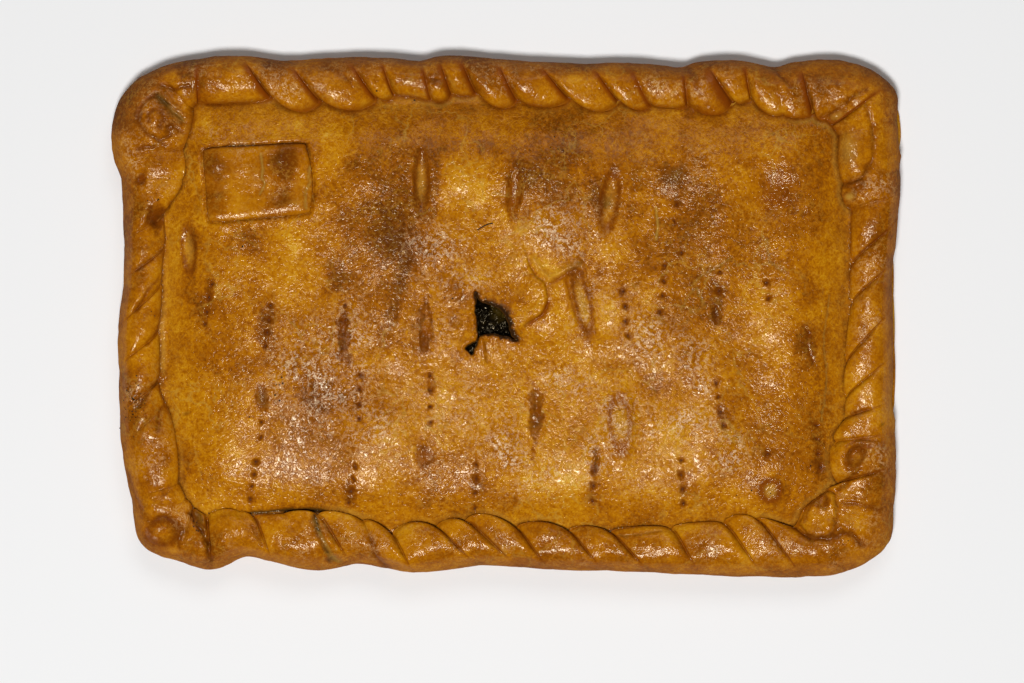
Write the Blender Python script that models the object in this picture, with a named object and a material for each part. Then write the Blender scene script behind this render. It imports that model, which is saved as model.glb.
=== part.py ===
"""Baked cuttlefish empanada, whole and uncut, lying on its flat base.

A bottom sheet of dough turns up into a rope-twisted rim. Inside it lie the inky filling and a
domed lid sheet with a torn steam vent, and a small dough rectangle is pressed onto the lid.
Units are metres, +Z up, +X along the length, and the origin is under the middle of the pie.
"""

import bmesh
import bpy
import numpy as np
from mathutils import Matrix

MM = 0.001

# Colours and roughness of the baked dough and of the wet filling
CRUST_COLOUR = (0.46, 0.19, 0.03)
CRUST_ROUGHNESS = 0.38
INK_COLOUR = (0.012, 0.010, 0.009)
INK_ROUGHNESS = 0.22

# Heights of the sheets, from the surface that the pie rests on
BASE_THICK = 3.4 * MM
LID_THICK = 3.8 * MM
SEAM_HEIGHT = 17.5 * MM
DOME_RISE = 10.0 * MM
ROPE_CREST = 25.0 * MM
ROPE_SIDE = 8.5 * MM
ROPE_TUCK = 4.4 * MM
GAP = 0.35 * MM
FILLING_GAP = 0.6 * MM
CORNER_SETTLE = 3.0 * MM
CORNER_POWER = 3

# The lid sheet under the rope's lip, and how its edge slopes up to the crown
LID_LENGTH = 336 * MM
LID_WIDTH = 215 * MM
LID_CORNER = 15 * MM
LID_MIDDLE = (0.5 * MM, 0.0)
LID_EDGE_FLAT = 6 * MM
SLOPE_LINE = 17 * MM
LID_EDGE_REACH = 36 * MM
LID_EDGE_POWER = 2.2
POCKET_GAP = 0.7 * MM
LIP_GAP = 0.5 * MM
LIP_ARCH = 0.9 * MM

# Grid cells along and across the sheets
LID_CELLS = (48, 32)
FILLING_CELLS = (20, 16)
PATCH_CELLS = (8, 6)

# The filling's grid lines gather under the vent: centre and spread as shares, and how strongly
VENT_COLUMNS = (0.485, 0.07, 6)
VENT_ROWS = (0.48, 0.1, 5)

# The base sheet's edge shows past the rope on the right, between these heights on the plan
PEEK_REACH = 1.5 * MM
PEEK_SPANS = ((-50 * MM, 34 * MM), (77 * MM, 105 * MM))
PEEK_FADE = 9 * MM
SHEET_EDGE_IN = 1.2 * MM
SHEET_EDGE_ROUND = 1.4 * MM
ROPE_TUCK_IN = 1.6 * MM

# The torn vent: the large tear and the small one beside it, as plan outlines in mm
VENT_TEAR = ((-14, 10), (-7, 6.5), (0, 5), (4, -3), (6.5, -12), (-1, -10), (-10, -10.5), (-14, -8), (-15.5, 2))
SIDE_TEAR = ((-14, -12.5), (-19.5, -15.5), (-17, -20.5), (-14, -17))
VENT_RIM = (-5, -3, 14, 15, 0, 1.4)

# The pressed dough rectangle: corners in mm, its thickness, and how deep it sits in the lid
PATCH_CORNERS = ((-144.5, 80), (-95, 82.5), (-93, 49), (-141, 44.5))
PATCH_THICK = 2.6 * MM
PATCH_BED = (-118.5, 64, 31, 23, 3, -1.5)
PATCH_CORNER_CUT = 1.6 * MM
PATCH_EDGE_DROP = 0.55

# Each fold of the rope, clockwise from the upper left, in mm: the outer end and the inner end of
# the groove that starts it, how far its lip bulges over the lid, and how deep the groove is
TOP_FOLDS = (
    (-146.5, 123.5, -147, 101, 1, 3),
    (-128.5, 125, -109.5, 103, 5.5, 4.5),
    (-106.5, 122.5, -86.5, 102, 4.5, 4.5),
    (-78, 124, -60, 103, 1, 4),
    (-61, 124, -52.5, 104.5, -1, 4.5),
    (-41, 122.5, -35, 102, 1, 3),
    (-33, 124.5, -25, 104.5, 0.5, 3.5),
    (-24, 125, -12.5, 105, 4.5, 4),
    (-6.5, 123.5, 7, 102, 3, 4.5),
    (12, 122, 32.5, 103, 5.5, 4.5),
    (38, 121, 55.5, 102, 3, 4),
    (56.5, 121.5, 70, 100, 0.5, 2),
    (84, 119.5, 87, 99.5, 4.5, 3.5),
    (92.5, 122, 110.5, 101, 0.5, 4),
    (112.5, 122.5, 117.5, 102.5, 2.5, 4),
    (128.5, 119.5, 132, 95.5, 1, 1),
    (139, 122, 147.5, 95, 1, 4.5),
)
RIGHT_FOLDS = (
    (164, 122, 152, 93, 0, 0.5),
    (184.5, 111, 155, 91, 0.5, 3.5),
    (189.5, 94.5, 158.5, 86, 1.5, 1),
    (189, 70, 160.5, 63, 2, 2),
    (189, 59.5, 164, 50, 0, 3),
    (188, 49, 164, 22.5, 0.5, 4.5),
    (186.5, 29.5, 164.5, 5.5, 1, 4.5),
    (186.5, 9.5, 162, -24, 1, 4.5),
    (187, -14, 162, -40, 0.5, 4),
    (187, -39, 161.5, -49, 1, 3.5),
    (186.5, -55.5, 156, -60, 2.5, 3),
    (187, -70.5, 157.5, -80.5, 1, 3.5),
    (186, -90.5, 153, -83, 0, 4),
)
BOTTOM_FOLDS = (
    (183, -109.5, 142, -91.5, 0, 3),
    (164.5, -122, 136.5, -100.5, 1, 2.5),
    (144, -125, 118, -96, 2, 4.5),
    (125, -125, 102.5, -98, 1, 4.5),
    (94, -124, 78, -100.5, 1.5, 4),
    (71, -123, 48, -102.5, 2.5, 4.5),
    (48.5, -122, 28.5, -102, 3.5, 4.5),
    (22.5, -121.5, 3.5, -100.5, 4, 4.5),
    (9, -120.5, -21.5, -97, 1.5, 4),
    (-11.5, -119.5, -34.5, -100.5, 4.5, 4.5),
    (-43, -123, -55, -103.5, 2, 4.5),
    (-56.5, -121, -69, -97, 1.5, 2),
    (-71.5, -119, -91, -93.5, 1, 5),
    (-91, -122, -106, -94, 0, 0.5),
    (-109.5, -118.5, -121, -94.5, 0.5, 4),
    (-124.5, -115.5, -127, -93, 2, 0.5),
    (-140, -121.5, -142.5, -94.5, 0, 5),
)
LEFT_FOLDS = (
    (-154.5, -118.5, -149, -91, 0.5, 3),
    (-174.5, -109.5, -152.5, -87, 0.5, 1),
    (-179.5, -88, -156, -79.5, 0.5, 3),
    (-184, -65, -162.5, -41, -1, 2),
    (-185, -48.5, -165, -29.5, 0.5, 4),
    (-185.5, -26.5, -165.5, -6.5, 0.5, 4),
    (-186, -8.5, -164, 16.5, -0.5, 4.5),
    (-183.5, 14.5, -162.5, 33.5, 0.5, 4),
    (-183, 33.5, -163, 49, 1, 3),
    (-184.5, 65.5, -154, 65, 1, 1.5),
    (-188.5, 76, -153.5, 79.5, 0.5, 3),
    (-188, 96, -149.5, 92, 0, 2.5),
    (-181, 109.5, -149, 96, 0, 1),
    (-169, 118, -149, 99, 0, 2.5),
)
FOLDS = np.array(TOP_FOLDS + RIGHT_FOLDS + BOTTOM_FOLDS + LEFT_FOLDS, dtype=float)

# Where the stations of one fold lie, from its groove to the next one
SHORT_FOLD = (0.0, 0.12, 0.5, 0.88)
LONG_FOLD = (0.0, 0.09, 0.35, 0.65, 0.91)
LONG_FOLD_LENGTH = 13 * MM
PILLOW_POWER = 3.4
OUTER_SCALLOP = 0.015

# Rings across the rope, from its outer side (0) over the crest to the lip at the seam (1)
ROPE_RINGS = (0.0, 0.06, 0.2, 0.38, 0.56, 0.74, 0.9, 1.0)
CREST_AT = 0.5
GROOVE_START = 0.08
GROOVE_FADE_OUT = 0.35
GROOVE_FADE_IN = 0.14
FORMS_FROM = 0.1
FORMS_TO = 0.96

# Rises and hollows, in mm and degrees: place, half width, half length, turn, height
ROPE_FORMS = (
    (-167, 92, 8.5, 8.5, 0, 2.2),
    (-167, 93, 3.5, 3.5, 0, -2.6),
    (-160, 107, 3, 10, 40, -1.6),
    (165, 80, 7, 17, 0, 1.6),
    (165, 62.5, 4.5, 3, 0, 1.8),
    (158, 96, 8, 5, 30, -2.6),
    (164, -67, 9, 10, 0, 1.5),
    (166, -66, 4, 6, -30, -4.0),
    (150.5, -88.5, 5, 5, 0, 2.0),
    (149, -99, 8, 6, 0, 1.8),
    (-163.5, -102, 7, 6, 0, -4.0),
    (-131.5, -102, 10, 8, 0, 1.8),
    (-165, 46, 4, 6, 0, -2.6),
)
LID_FORMS = (
    (20, 60, 24, 34, 8, 2.4),
    (-62, 45, 14, 62, 8, 1.6),
    (-100, -25, 30, 36, 0, 1.4),
    (16, 8, 10, 12, 0, 1.8),
    (34, 7, 4, 16, 14, 1.2),
    (75, -5, 22, 50, 0, 1.0),
    (128, 58, 9, 15, -8, -1.6),
    (50, 54, 5, 15, -4, -1.4),
    (-40, 64, 4, 15, 0, -1.4),
    (4, 52, 5, 14, 0, -1.2),
    (127, -83, 6, 6, 0, 1.2),
    (55, -51, 5.5, 13, 5, 1.4),
    (-151, 31, 4, 13, 0, -1.0),
)
FORM_POWER = 1.4

# The lid's long waves, the filling's lumps under the vent, and their random seeds
WAVE_AMPLITUDE = 0.9 * MM
WAVE_LENGTHS = (17 * MM, 55 * MM)
WAVE_SEED = 31
RELIEF_FADE = 14 * MM
LUMP_AMPLITUDE = 1.6 * MM
LUMP_LENGTH = 5.5 * MM
LUMP_SINK = 0.9
LUMP_PATCH = (-5 * MM, -4 * MM, 19 * MM)
LUMP_SEED = 32


def clear_scene():
    """Start from an empty scene."""
    for item in list(bpy.data.objects):
        bpy.data.objects.remove(item, do_unlink=True)


def dough_material(name, colour, roughness):
    """A plain dough or filling material."""
    material = bpy.data.materials.new(name)
    material.use_nodes = True
    shader = material.node_tree.nodes["Principled BSDF"]
    shader.inputs["Base Color"].default_value = (*colour, 1.0)
    shader.inputs["Roughness"].default_value = roughness
    shader.inputs["Metallic"].default_value = 0.0
    return material


def solid(name, points, faces, material):
    """One closed object, shaded smooth, with its faces turned outward."""
    mesh = bpy.data.meshes.new(name)
    mesh.from_pydata([tuple(point) for point in points], [], faces)
    shape = bmesh.new()
    shape.from_mesh(mesh)
    bmesh.ops.recalc_face_normals(shape, faces=shape.faces)
    shape.to_mesh(mesh)
    shape.free()
    mesh.shade_smooth()
    mesh.materials.append(material)
    item = bpy.data.objects.new(name, mesh)
    bpy.context.scene.collection.objects.link(item)
    return item


def waves(x, y, lengths, seed):
    """Smooth noise from -1 to 1, with its own wavelength along x and along y."""
    grid = np.random.default_rng(seed).uniform(-1, 1, (64, 64))
    u = np.asarray(x) / lengths[0] + 1000.0
    v = np.asarray(y) / lengths[1] + 1000.0
    column = np.floor(u).astype(int)
    row = np.floor(v).astype(int)
    s = u - column
    t = v - row
    s = s * s * (3 - 2 * s)
    t = t * t * (3 - 2 * t)
    low = grid[column % 64, row % 64] * (1 - s) + grid[(column + 1) % 64, row % 64] * s
    high = grid[column % 64, (row + 1) % 64] * (1 - s) + grid[(column + 1) % 64, (row + 1) % 64] * s
    return low * (1 - t) + high * t


def forms(x, y, rows):
    """The summed height of smooth oval rises and hollows."""
    height = np.zeros_like(x)
    for place_x, place_y, half_width, half_length, turn, rise in rows:
        angle = np.radians(turn)
        dx = x / MM - place_x
        dy = y / MM - place_y
        across = (dx * np.cos(angle) + dy * np.sin(angle)) / half_width
        along = (dy * np.cos(angle) - dx * np.sin(angle)) / half_length
        height = height + rise * MM * np.exp(-((across**2 + along**2) ** FORM_POWER))
    return height


def edge_distance(x, y):
    """How far inside the lid sheet's own edge a plan point lies."""
    reach_x = LID_LENGTH / 2 - np.abs(x - LID_MIDDLE[0])
    reach_y = LID_WIDTH / 2 - np.abs(y - LID_MIDDLE[1])
    corner_x = np.clip(LID_CORNER - reach_x, 0, None)
    corner_y = np.clip(LID_CORNER - reach_y, 0, None)
    rounded = LID_CORNER - np.hypot(corner_x, corner_y)
    return np.where((corner_x > 0) & (corner_y > 0), rounded, np.minimum(reach_x, reach_y))


def dome(x, y):
    """The lid's smooth rise from its hidden edge to the crown."""
    reach_x = LID_LENGTH / 2 - np.abs(x - LID_MIDDLE[0])
    reach_y = LID_WIDTH / 2 - np.abs(y - LID_MIDDLE[1])
    rise = 1.0
    for reach in (reach_x, reach_y):
        part = np.clip((reach - LID_EDGE_FLAT) / LID_EDGE_REACH, 0, 1)
        rise = rise * (1 - (1 - part) ** LID_EDGE_POWER)
    return DOME_RISE * rise


def lid_top(x, y):
    """The lid's upper surface with its waves, blisters and the patch's bed."""
    inside = np.clip((edge_distance(x, y) - LID_EDGE_FLAT) / RELIEF_FADE, 0, 1)
    relief = WAVE_AMPLITUDE * waves(x, y, WAVE_LENGTHS, WAVE_SEED)
    relief = relief + forms(x, y, LID_FORMS + (VENT_RIM,))
    beside_patch = 1 - forms(x, y, (PATCH_BED[:5] + (1.0,),)) / MM
    relief = relief * beside_patch + forms(x, y, (PATCH_BED,))
    return SEAM_HEIGHT + dome(x, y) + inside * relief


def lid_under(x, y):
    """The lid's smooth lower surface."""
    return SEAM_HEIGHT - LID_THICK + dome(x, y)


def on_border(x, y, inset):
    """Plan points carried out from the lid's middle onto its rounded border, moved in by inset."""
    half_x = LID_LENGTH / 2 - inset
    half_y = LID_WIDTH / 2 - inset
    corner = LID_CORNER - inset
    from_x = x - LID_MIDDLE[0]
    from_y = y - LID_MIDDLE[1]
    share = np.maximum(np.abs(from_x) / half_x, np.abs(from_y) / half_y)
    share = np.maximum(share, 1e-9)
    edge_x = from_x / share
    edge_y = from_y / share
    core_x = np.clip(edge_x, corner - half_x, half_x - corner)
    core_y = np.clip(edge_y, corner - half_y, half_y - corner)
    reach = np.hypot(edge_x - core_x, edge_y - core_y)
    shrink = corner / np.maximum(reach, corner)
    border_x = core_x + (edge_x - core_x) * shrink + LID_MIDDLE[0]
    border_y = core_y + (edge_y - core_y) * shrink + LID_MIDDLE[1]
    return border_x, border_y


def fold_stations():
    """The fold number and the share of it for every station round the rope."""
    chord = np.hypot(*(np.roll(FOLDS[:, 2:4], -1, axis=0) - FOLDS[:, 2:4]).T)
    chord = np.maximum(chord, np.hypot(*(np.roll(FOLDS[:, :2], -1, axis=0) - FOLDS[:, :2]).T))
    numbers = []
    shares = []
    for number, length in enumerate(chord):
        steps = LONG_FOLD if length * MM > LONG_FOLD_LENGTH else SHORT_FOLD
        numbers.extend([number] * len(steps))
        shares.extend(steps)
    return np.array(numbers), np.array(shares)


def fold_curve(ends, numbers, shares, bulge, side):
    """A closed smooth curve through the groove ends, scalloped between them."""
    count = len(ends)
    start = ends[numbers]
    stop = ends[(numbers + 1) % count]
    step = np.hypot(*(np.roll(ends, -1, axis=0) - ends).T)
    before = np.roll(step, 1)
    slope = (np.roll(ends, -1, axis=0) - np.roll(ends, 1, axis=0)) / (step + before)[:, None]
    length = step[numbers][:, None]
    t = shares[:, None]
    curve = (2 * t**3 - 3 * t**2 + 1) * start + (3 * t**2 - 2 * t**3) * stop
    curve = curve + (t**3 - 2 * t**2 + t) * length * slope[numbers]
    curve = curve + (t**3 - t**2) * length * slope[(numbers + 1) % count]
    along = (stop - start) / np.maximum(length, 1e-9)
    normal = np.stack((-along[:, 1], along[:, 0]), axis=1) * side
    return curve + normal * (bulge[numbers] * 4 * shares * (1 - shares))[:, None]


def rope_height(share_across, groove, pillow, seam):
    """The rope's upper surface: an elliptic arch, cut down at the grooves between its folds."""
    outer = np.clip(share_across / CREST_AT, 0, 1)
    inner = np.clip((share_across - CREST_AT) / (1 - CREST_AT), 0, 1)
    arch_out = ROPE_SIDE + (ROPE_CREST - ROPE_SIDE) * np.sqrt(1 - (1 - outer) ** 2)
    arch_in = seam + (ROPE_CREST - seam) * np.sqrt(np.clip(1 - inner**2, 0, 1))
    height = np.where(share_across < CREST_AT, arch_out, arch_in)
    reach = np.clip((share_across - GROOVE_START) / GROOVE_FADE_OUT, 0, 1)
    reach = reach * np.clip((1 - share_across) / GROOVE_FADE_IN, 0, 1)
    return height - groove * reach * (1 - pillow)


def ring_faces(rings, count):
    """Quads between successive closed rings of points."""
    faces = []
    for ring in range(rings - 1):
        for spot in range(count):
            after = (spot + 1) % count
            low = ring * count
            high = low + count
            faces.append((low + spot, low + after, high + after, high + spot))
    return faces


def base_crust(material):
    """The bottom sheet and its rope-twisted rim, as one tray."""
    numbers, shares = fold_stations()
    folds = FOLDS * MM
    outer_bulge = OUTER_SCALLOP * np.hypot(*(np.roll(folds[:, :2], -1, axis=0) - folds[:, :2]).T)
    outer = fold_curve(folds[:, :2], numbers, shares, outer_bulge, 1)
    inner = fold_curve(folds[:, 2:4], numbers, shares, folds[:, 4], -1)
    following = (numbers + 1) % len(folds)
    groove = folds[numbers, 5] * (1 - shares) + folds[following, 5] * shares
    pillow = 1 - np.abs(2 * shares - 1) ** PILLOW_POWER
    peek = np.zeros(len(outer))
    for low, high in PEEK_SPANS:
        rise = np.clip((outer[:, 1] - low) / PEEK_FADE, 0, 1) * np.clip((high - outer[:, 1]) / PEEK_FADE, 0, 1)
        peek = np.maximum(peek, rise * PEEK_REACH * (outer[:, 0] > 0))
    across = inner - outer
    across = across / np.hypot(*across.T)[:, None]
    rope_edge = outer + across * peek[:, None]
    seam = lid_top(inner[:, 0], inner[:, 1]) + LIP_GAP

    rings = []
    sheet_edge = outer + across * (SHEET_EDGE_IN * (1 - peek / PEEK_REACH))[:, None]
    rings.append((sheet_edge + across * SHEET_EDGE_ROUND, 0 * seam))
    rings.append((sheet_edge, 0 * seam + BASE_THICK * 0.6))
    rings.append((rope_edge + across * ROPE_TUCK_IN, 0 * seam + ROPE_TUCK))
    for share in ROPE_RINGS:
        plan = rope_edge * (1 - share) + inner * share
        height = rope_height(share + 0 * seam, groove, pillow, seam)
        if FORMS_FROM < share < FORMS_TO:
            height = height + forms(plan[:, 0], plan[:, 1], ROPE_FORMS)
        rings.append((plan, height))
    pocket = np.stack(on_border(inner[:, 0], inner[:, 1], -POCKET_GAP), axis=1)
    middle = (pocket + inner) / 2
    rings.append((middle, lid_top(middle[:, 0], middle[:, 1]) + LIP_GAP + LIP_ARCH))
    rings.append((pocket, lid_top(pocket[:, 0], pocket[:, 1]) + LIP_GAP))
    rings.append((pocket, 0 * seam + BASE_THICK))

    count = len(numbers)
    points = [(x, y, z) for plan, height in rings for (x, y), z in zip(plan, height)]
    faces = ring_faces(len(rings), count)
    faces.append(tuple(range(count)))
    faces.append(tuple(range((len(rings) - 1) * count, len(rings) * count)))
    return solid("base_crust", points, faces, material)


def sheet_grid(columns, rows, inset):
    """Plan points of a grid that fills the lid's rounded rectangle, as arrays of x and y."""
    u, v = np.meshgrid(columns, rows, indexing="ij")
    share = np.maximum(np.abs(2 * u - 1), np.abs(2 * v - 1))
    flat_x = LID_MIDDLE[0] + (2 * u - 1) * (LID_LENGTH / 2 - inset)
    flat_y = LID_MIDDLE[1] + (2 * v - 1) * (LID_WIDTH / 2 - inset)
    border_x, border_y = on_border(flat_x, flat_y, inset)
    x = LID_MIDDLE[0] + (border_x - LID_MIDDLE[0]) * share
    y = LID_MIDDLE[1] + (border_y - LID_MIDDLE[1]) * share
    return x, y


def border_ring(columns, rows):
    """Grid indices round the border of a columns by rows point grid, in order."""
    ring = [(column, 0) for column in range(columns)]
    ring += [(columns - 1, row) for row in range(1, rows)]
    ring += [(column, rows - 1) for column in range(columns - 2, -1, -1)]
    ring += [(0, row) for row in range(rows - 2, 0, -1)]
    return ring


def coarse_lines(cells):
    """Every second grid line between a sheet's flat edges, with its borders."""
    return [0, *range(1, cells, 2), cells]


def sheet_lines(inner_lines, size, *edge_lines):
    """Grid lines across a sheet: its borders, its edge lines, and the given shares between them."""
    near = np.array((0.0, LID_EDGE_FLAT, *edge_lines)) / size
    last = near[-1]
    return np.concatenate((near[:-1], last + (1 - 2 * last) * inner_lines, 1 - near[-2::-1]))


def lid_crust(material):
    """The domed lid sheet, with a finer grid above than below, before the vent is torn."""
    columns = sheet_lines(np.linspace(0, 1, LID_CELLS[0] - 1), LID_LENGTH)
    rows = sheet_lines(np.linspace(0, 1, LID_CELLS[1] - 1), LID_WIDTH)
    x, y = sheet_grid(columns, rows, 0)
    top = lid_top(x, y)
    points = [(a, b, c) for a, b, c in zip(x.ravel(), y.ravel(), top.ravel())]
    wide = len(rows)
    faces = []
    for column in range(LID_CELLS[0]):
        for row in range(LID_CELLS[1]):
            corner = column * wide + row
            faces.append((corner, corner + wide, corner + wide + 1, corner + 1))
    coarse_columns = coarse_lines(LID_CELLS[0])
    coarse_rows = coarse_lines(LID_CELLS[1])
    lower = {}
    for column in range(LID_CELLS[0] + 1):
        for row in range(LID_CELLS[1] + 1):
            on_edge = column in (0, LID_CELLS[0]) or row in (0, LID_CELLS[1])
            if on_edge or (column in coarse_columns and row in coarse_rows):
                lower[column, row] = len(points)
                plan = (x[column, row], y[column, row])
                points.append((*plan, float(lid_under(*plan))))
    for left, right in zip(coarse_columns, coarse_columns[1:]):
        for near, far in zip(coarse_rows, coarse_rows[1:]):
            loop = [(column, near) for column in range(left, right)]
            loop += [(right, row) for row in range(near, far)]
            loop += [(column, far) for column in range(right, left, -1)]
            loop += [(left, row) for row in range(far, near, -1)]
            faces.append(tuple(lower[spot] for spot in loop if spot in lower)[::-1])
    ring = border_ring(LID_CELLS[0] + 1, LID_CELLS[1] + 1)
    for spot, after in zip(ring, ring[1:] + ring[:1]):
        upper = spot[0] * wide + spot[1]
        upper_after = after[0] * wide + after[1]
        faces.append((upper, lower[spot], lower[after], upper_after))
    return solid("lid_crust", points, faces, material)


def tear_cutter(name, outline):
    """An upright prism through the lid, the shape of one tear."""
    low = SEAM_HEIGHT - LID_THICK
    high = SEAM_HEIGHT + 2 * DOME_RISE
    points = [(a * MM, b * MM, low) for a, b in outline]
    points += [(a * MM, b * MM, high) for a, b in outline]
    count = len(outline)
    faces = [(spot, (spot + 1) % count, count + (spot + 1) % count, count + spot) for spot in range(count)]
    faces += [tuple(range(count))[::-1], tuple(range(count, 2 * count))]
    cutter = solid(name, points, faces, None)
    cutter.hide_render = True
    cutter.display_type = "WIRE"
    return cutter


def tear_vent(lid):
    """Tear the vent's two openings through the lid."""
    for name, outline in (("large_tear", VENT_TEAR), ("side_tear", SIDE_TEAR)):
        cut = lid.modifiers.new(name, "BOOLEAN")
        cut.operation = "DIFFERENCE"
        cut.solver = "EXACT"
        cut.object = tear_cutter(name + "_cutter", outline)


def gathered(count, centre, spread, pull):
    """Shares from 0 to 1 that gather round a centre."""
    even = np.linspace(0, 1, count + 1)
    weight = 1 + pull * np.exp(-(((even - centre) / spread) ** 2))
    total = np.concatenate(([0], np.cumsum((weight[1:] + weight[:-1]) / 2)))
    return np.interp(np.linspace(0, total[-1], count + 1), total, even)


def filling(material):
    """The dark filling: a flat-bottomed slab that follows the lid, lumpy under the vent."""
    columns = sheet_lines(gathered(FILLING_CELLS[0] - 4, *VENT_COLUMNS), LID_LENGTH, SLOPE_LINE)
    rows = sheet_lines(gathered(FILLING_CELLS[1] - 4, *VENT_ROWS), LID_WIDTH, SLOPE_LINE)
    x, y = sheet_grid(columns, rows, 0)
    lumps = LUMP_AMPLITUDE * (LUMP_SINK + waves(x, y, (LUMP_LENGTH, LUMP_LENGTH), LUMP_SEED))
    patch_x, patch_y, reach = LUMP_PATCH
    lumps = lumps * np.exp(-(np.hypot(x - patch_x, y - patch_y) / reach) ** 4)
    corner = np.abs(2 * x / LID_LENGTH * 2 * y / LID_WIDTH) ** CORNER_POWER
    top = lid_under(x, y) - FILLING_GAP - CORNER_SETTLE * corner - lumps
    points = [(a, b, c) for a, b, c in zip(x.ravel(), y.ravel(), top.ravel())]
    wide = len(rows)
    faces = []
    for column in range(FILLING_CELLS[0]):
        for row in range(FILLING_CELLS[1]):
            corner = column * wide + row
            faces.append((corner, corner + wide, corner + wide + 1, corner + 1))
    ring = border_ring(FILLING_CELLS[0] + 1, FILLING_CELLS[1] + 1)
    first = len(points)
    points += [(x[spot], y[spot], BASE_THICK + GAP) for spot in ring]
    count = len(ring)
    for number, spot in enumerate(ring):
        after = (number + 1) % count
        upper = spot[0] * wide + spot[1]
        upper_after = ring[after][0] * wide + ring[after][1]
        faces.append((upper, first + number, first + after, upper_after))
    faces.append(tuple(range(first, first + count)))
    return solid("filling", points, faces, material)


def dough_patch(material):
    """The small dough rectangle, following the lid in its shallow bed."""
    u, v = np.meshgrid(np.linspace(0, 1, PATCH_CELLS[0] + 1), np.linspace(0, 1, PATCH_CELLS[1] + 1), indexing="ij")
    left_top, right_top, right_low, left_low = (np.array(corner) * MM for corner in PATCH_CORNERS)
    plan = (
        left_low[:, None, None] * (1 - u) * (1 - v)
        + right_low[:, None, None] * u * (1 - v)
        + right_top[:, None, None] * u * v
        + left_top[:, None, None] * (1 - u) * v
    )
    centre = plan.mean(axis=(1, 2))
    at_corner = ((u == 0) | (u == 1)) & ((v == 0) | (v == 1))
    toward = centre[:, None, None] - plan
    toward = toward / np.maximum(np.hypot(toward[0], toward[1]), 1e-9)
    plan = plan + toward * PATCH_CORNER_CUT * at_corner
    on_border = (u == 0) | (u == 1) | (v == 0) | (v == 1)
    drop = np.where(on_border, PATCH_THICK * PATCH_EDGE_DROP, 0.0)
    ground = lid_top(plan[0], plan[1])
    top = ground + GAP + PATCH_THICK - drop
    low = ground + GAP
    points = [(a, b, c) for a, b, c in zip(plan[0].ravel(), plan[1].ravel(), top.ravel())]
    points += [(a, b, c) for a, b, c in zip(plan[0].ravel(), plan[1].ravel(), low.ravel())]
    wide = PATCH_CELLS[1] + 1
    under = (PATCH_CELLS[0] + 1) * wide
    faces = []
    for column in range(PATCH_CELLS[0]):
        for row in range(PATCH_CELLS[1]):
            corner = column * wide + row
            quad = (corner, corner + wide, corner + wide + 1, corner + 1)
            faces.append(quad)
            faces.append(tuple(under + spot for spot in quad[::-1]))
    ring = [column * wide + row for column, row in border_ring(PATCH_CELLS[0] + 1, wide)]
    for spot, after in zip(ring, ring[1:] + ring[:1]):
        faces.append((spot, under + spot, under + after, after))
    return solid("dough_patch", points, faces, material)


def centre_on(base):
    """Move every piece in the plan, so that the base's box is centred on the origin."""
    spots = np.array([vertex.co[:2] for vertex in base.data.vertices])
    middle = (spots.min(axis=0) + spots.max(axis=0)) / 2
    shift = Matrix.Translation((-middle[0], -middle[1], 0.0))
    for item in bpy.data.objects:
        item.data.transform(shift)


def build():
    """All pieces of the pie."""
    clear_scene()
    crust = dough_material("golden_crust", CRUST_COLOUR, CRUST_ROUGHNESS)
    base = base_crust(crust)
    tear_vent(lid_crust(crust))
    dough_patch(crust)
    filling(dough_material("ink_filling", INK_COLOUR, INK_ROUGHNESS))
    centre_on(base)


build()
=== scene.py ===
"""Looks of the baked cuttlefish empanada: glazed and toasted crust, rope rim, torn vent, inky filling.

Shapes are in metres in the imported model's frame. Places on the crust are given in picture points,
the same small steps in which the pie was measured, and POINT says how long one of them is.
"""

import bmesh
import bpy
import numpy as np
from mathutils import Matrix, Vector
from mathutils.bvhtree import BVHTree
from mathutils.geometry import delaunay_2d_cdt
from mathutils.kdtree import KDTree


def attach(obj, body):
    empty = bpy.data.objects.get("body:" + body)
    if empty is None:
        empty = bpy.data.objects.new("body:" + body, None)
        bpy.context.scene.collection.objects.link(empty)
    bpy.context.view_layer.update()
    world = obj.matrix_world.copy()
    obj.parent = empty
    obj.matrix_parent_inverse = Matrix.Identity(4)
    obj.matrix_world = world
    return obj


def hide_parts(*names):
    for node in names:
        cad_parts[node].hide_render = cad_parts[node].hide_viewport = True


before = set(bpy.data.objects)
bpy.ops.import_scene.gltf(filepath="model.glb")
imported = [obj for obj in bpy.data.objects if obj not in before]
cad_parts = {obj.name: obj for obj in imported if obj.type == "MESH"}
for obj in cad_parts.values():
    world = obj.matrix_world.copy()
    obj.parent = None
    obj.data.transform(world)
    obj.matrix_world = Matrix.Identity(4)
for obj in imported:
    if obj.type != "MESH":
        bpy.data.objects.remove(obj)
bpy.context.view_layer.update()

MM = 0.001

# One picture point on the pie, the point over the middle of the plan, and the picture's size
POINT = 0.478 * MM
MIDDLE_POINT = (506, 316)
PICTURE_SIZE = (1024, 683)

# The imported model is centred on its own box, which moves the plan by this much
PLAN_SHIFT = (-0.403 * MM, 0.184 * MM)

# Heights and plan of the sheets, as in the solids
BASE_THICK = 3.4 * MM
LID_THICK = 3.8 * MM
SEAM_HEIGHT = 17.5 * MM
DOME_RISE = 10.0 * MM
ROPE_CREST = 25.0 * MM
ROPE_SIDE = 8.5 * MM
GAP = 0.35 * MM
FILLING_GAP = 0.6 * MM
CORNER_SETTLE = 3.0 * MM
CORNER_POWER = 3
LID_LENGTH = 336 * MM
LID_WIDTH = 215 * MM
LID_CORNER = 15 * MM
LID_MIDDLE = (0.5 * MM, 0.0)
LID_EDGE_FLAT = 6 * MM
LID_EDGE_REACH = 36 * MM
LID_EDGE_POWER = 2.2
POCKET_GAP = 0.7 * MM
LIP_GAP = 0.5 * MM
PEEK_REACH = 2.2 * MM
PEEK_SPANS = ((-50 * MM, 34 * MM), (77 * MM, 105 * MM))
PEEK_FADE = 9 * MM
SHEET_EDGE_IN = 1.2 * MM
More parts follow.
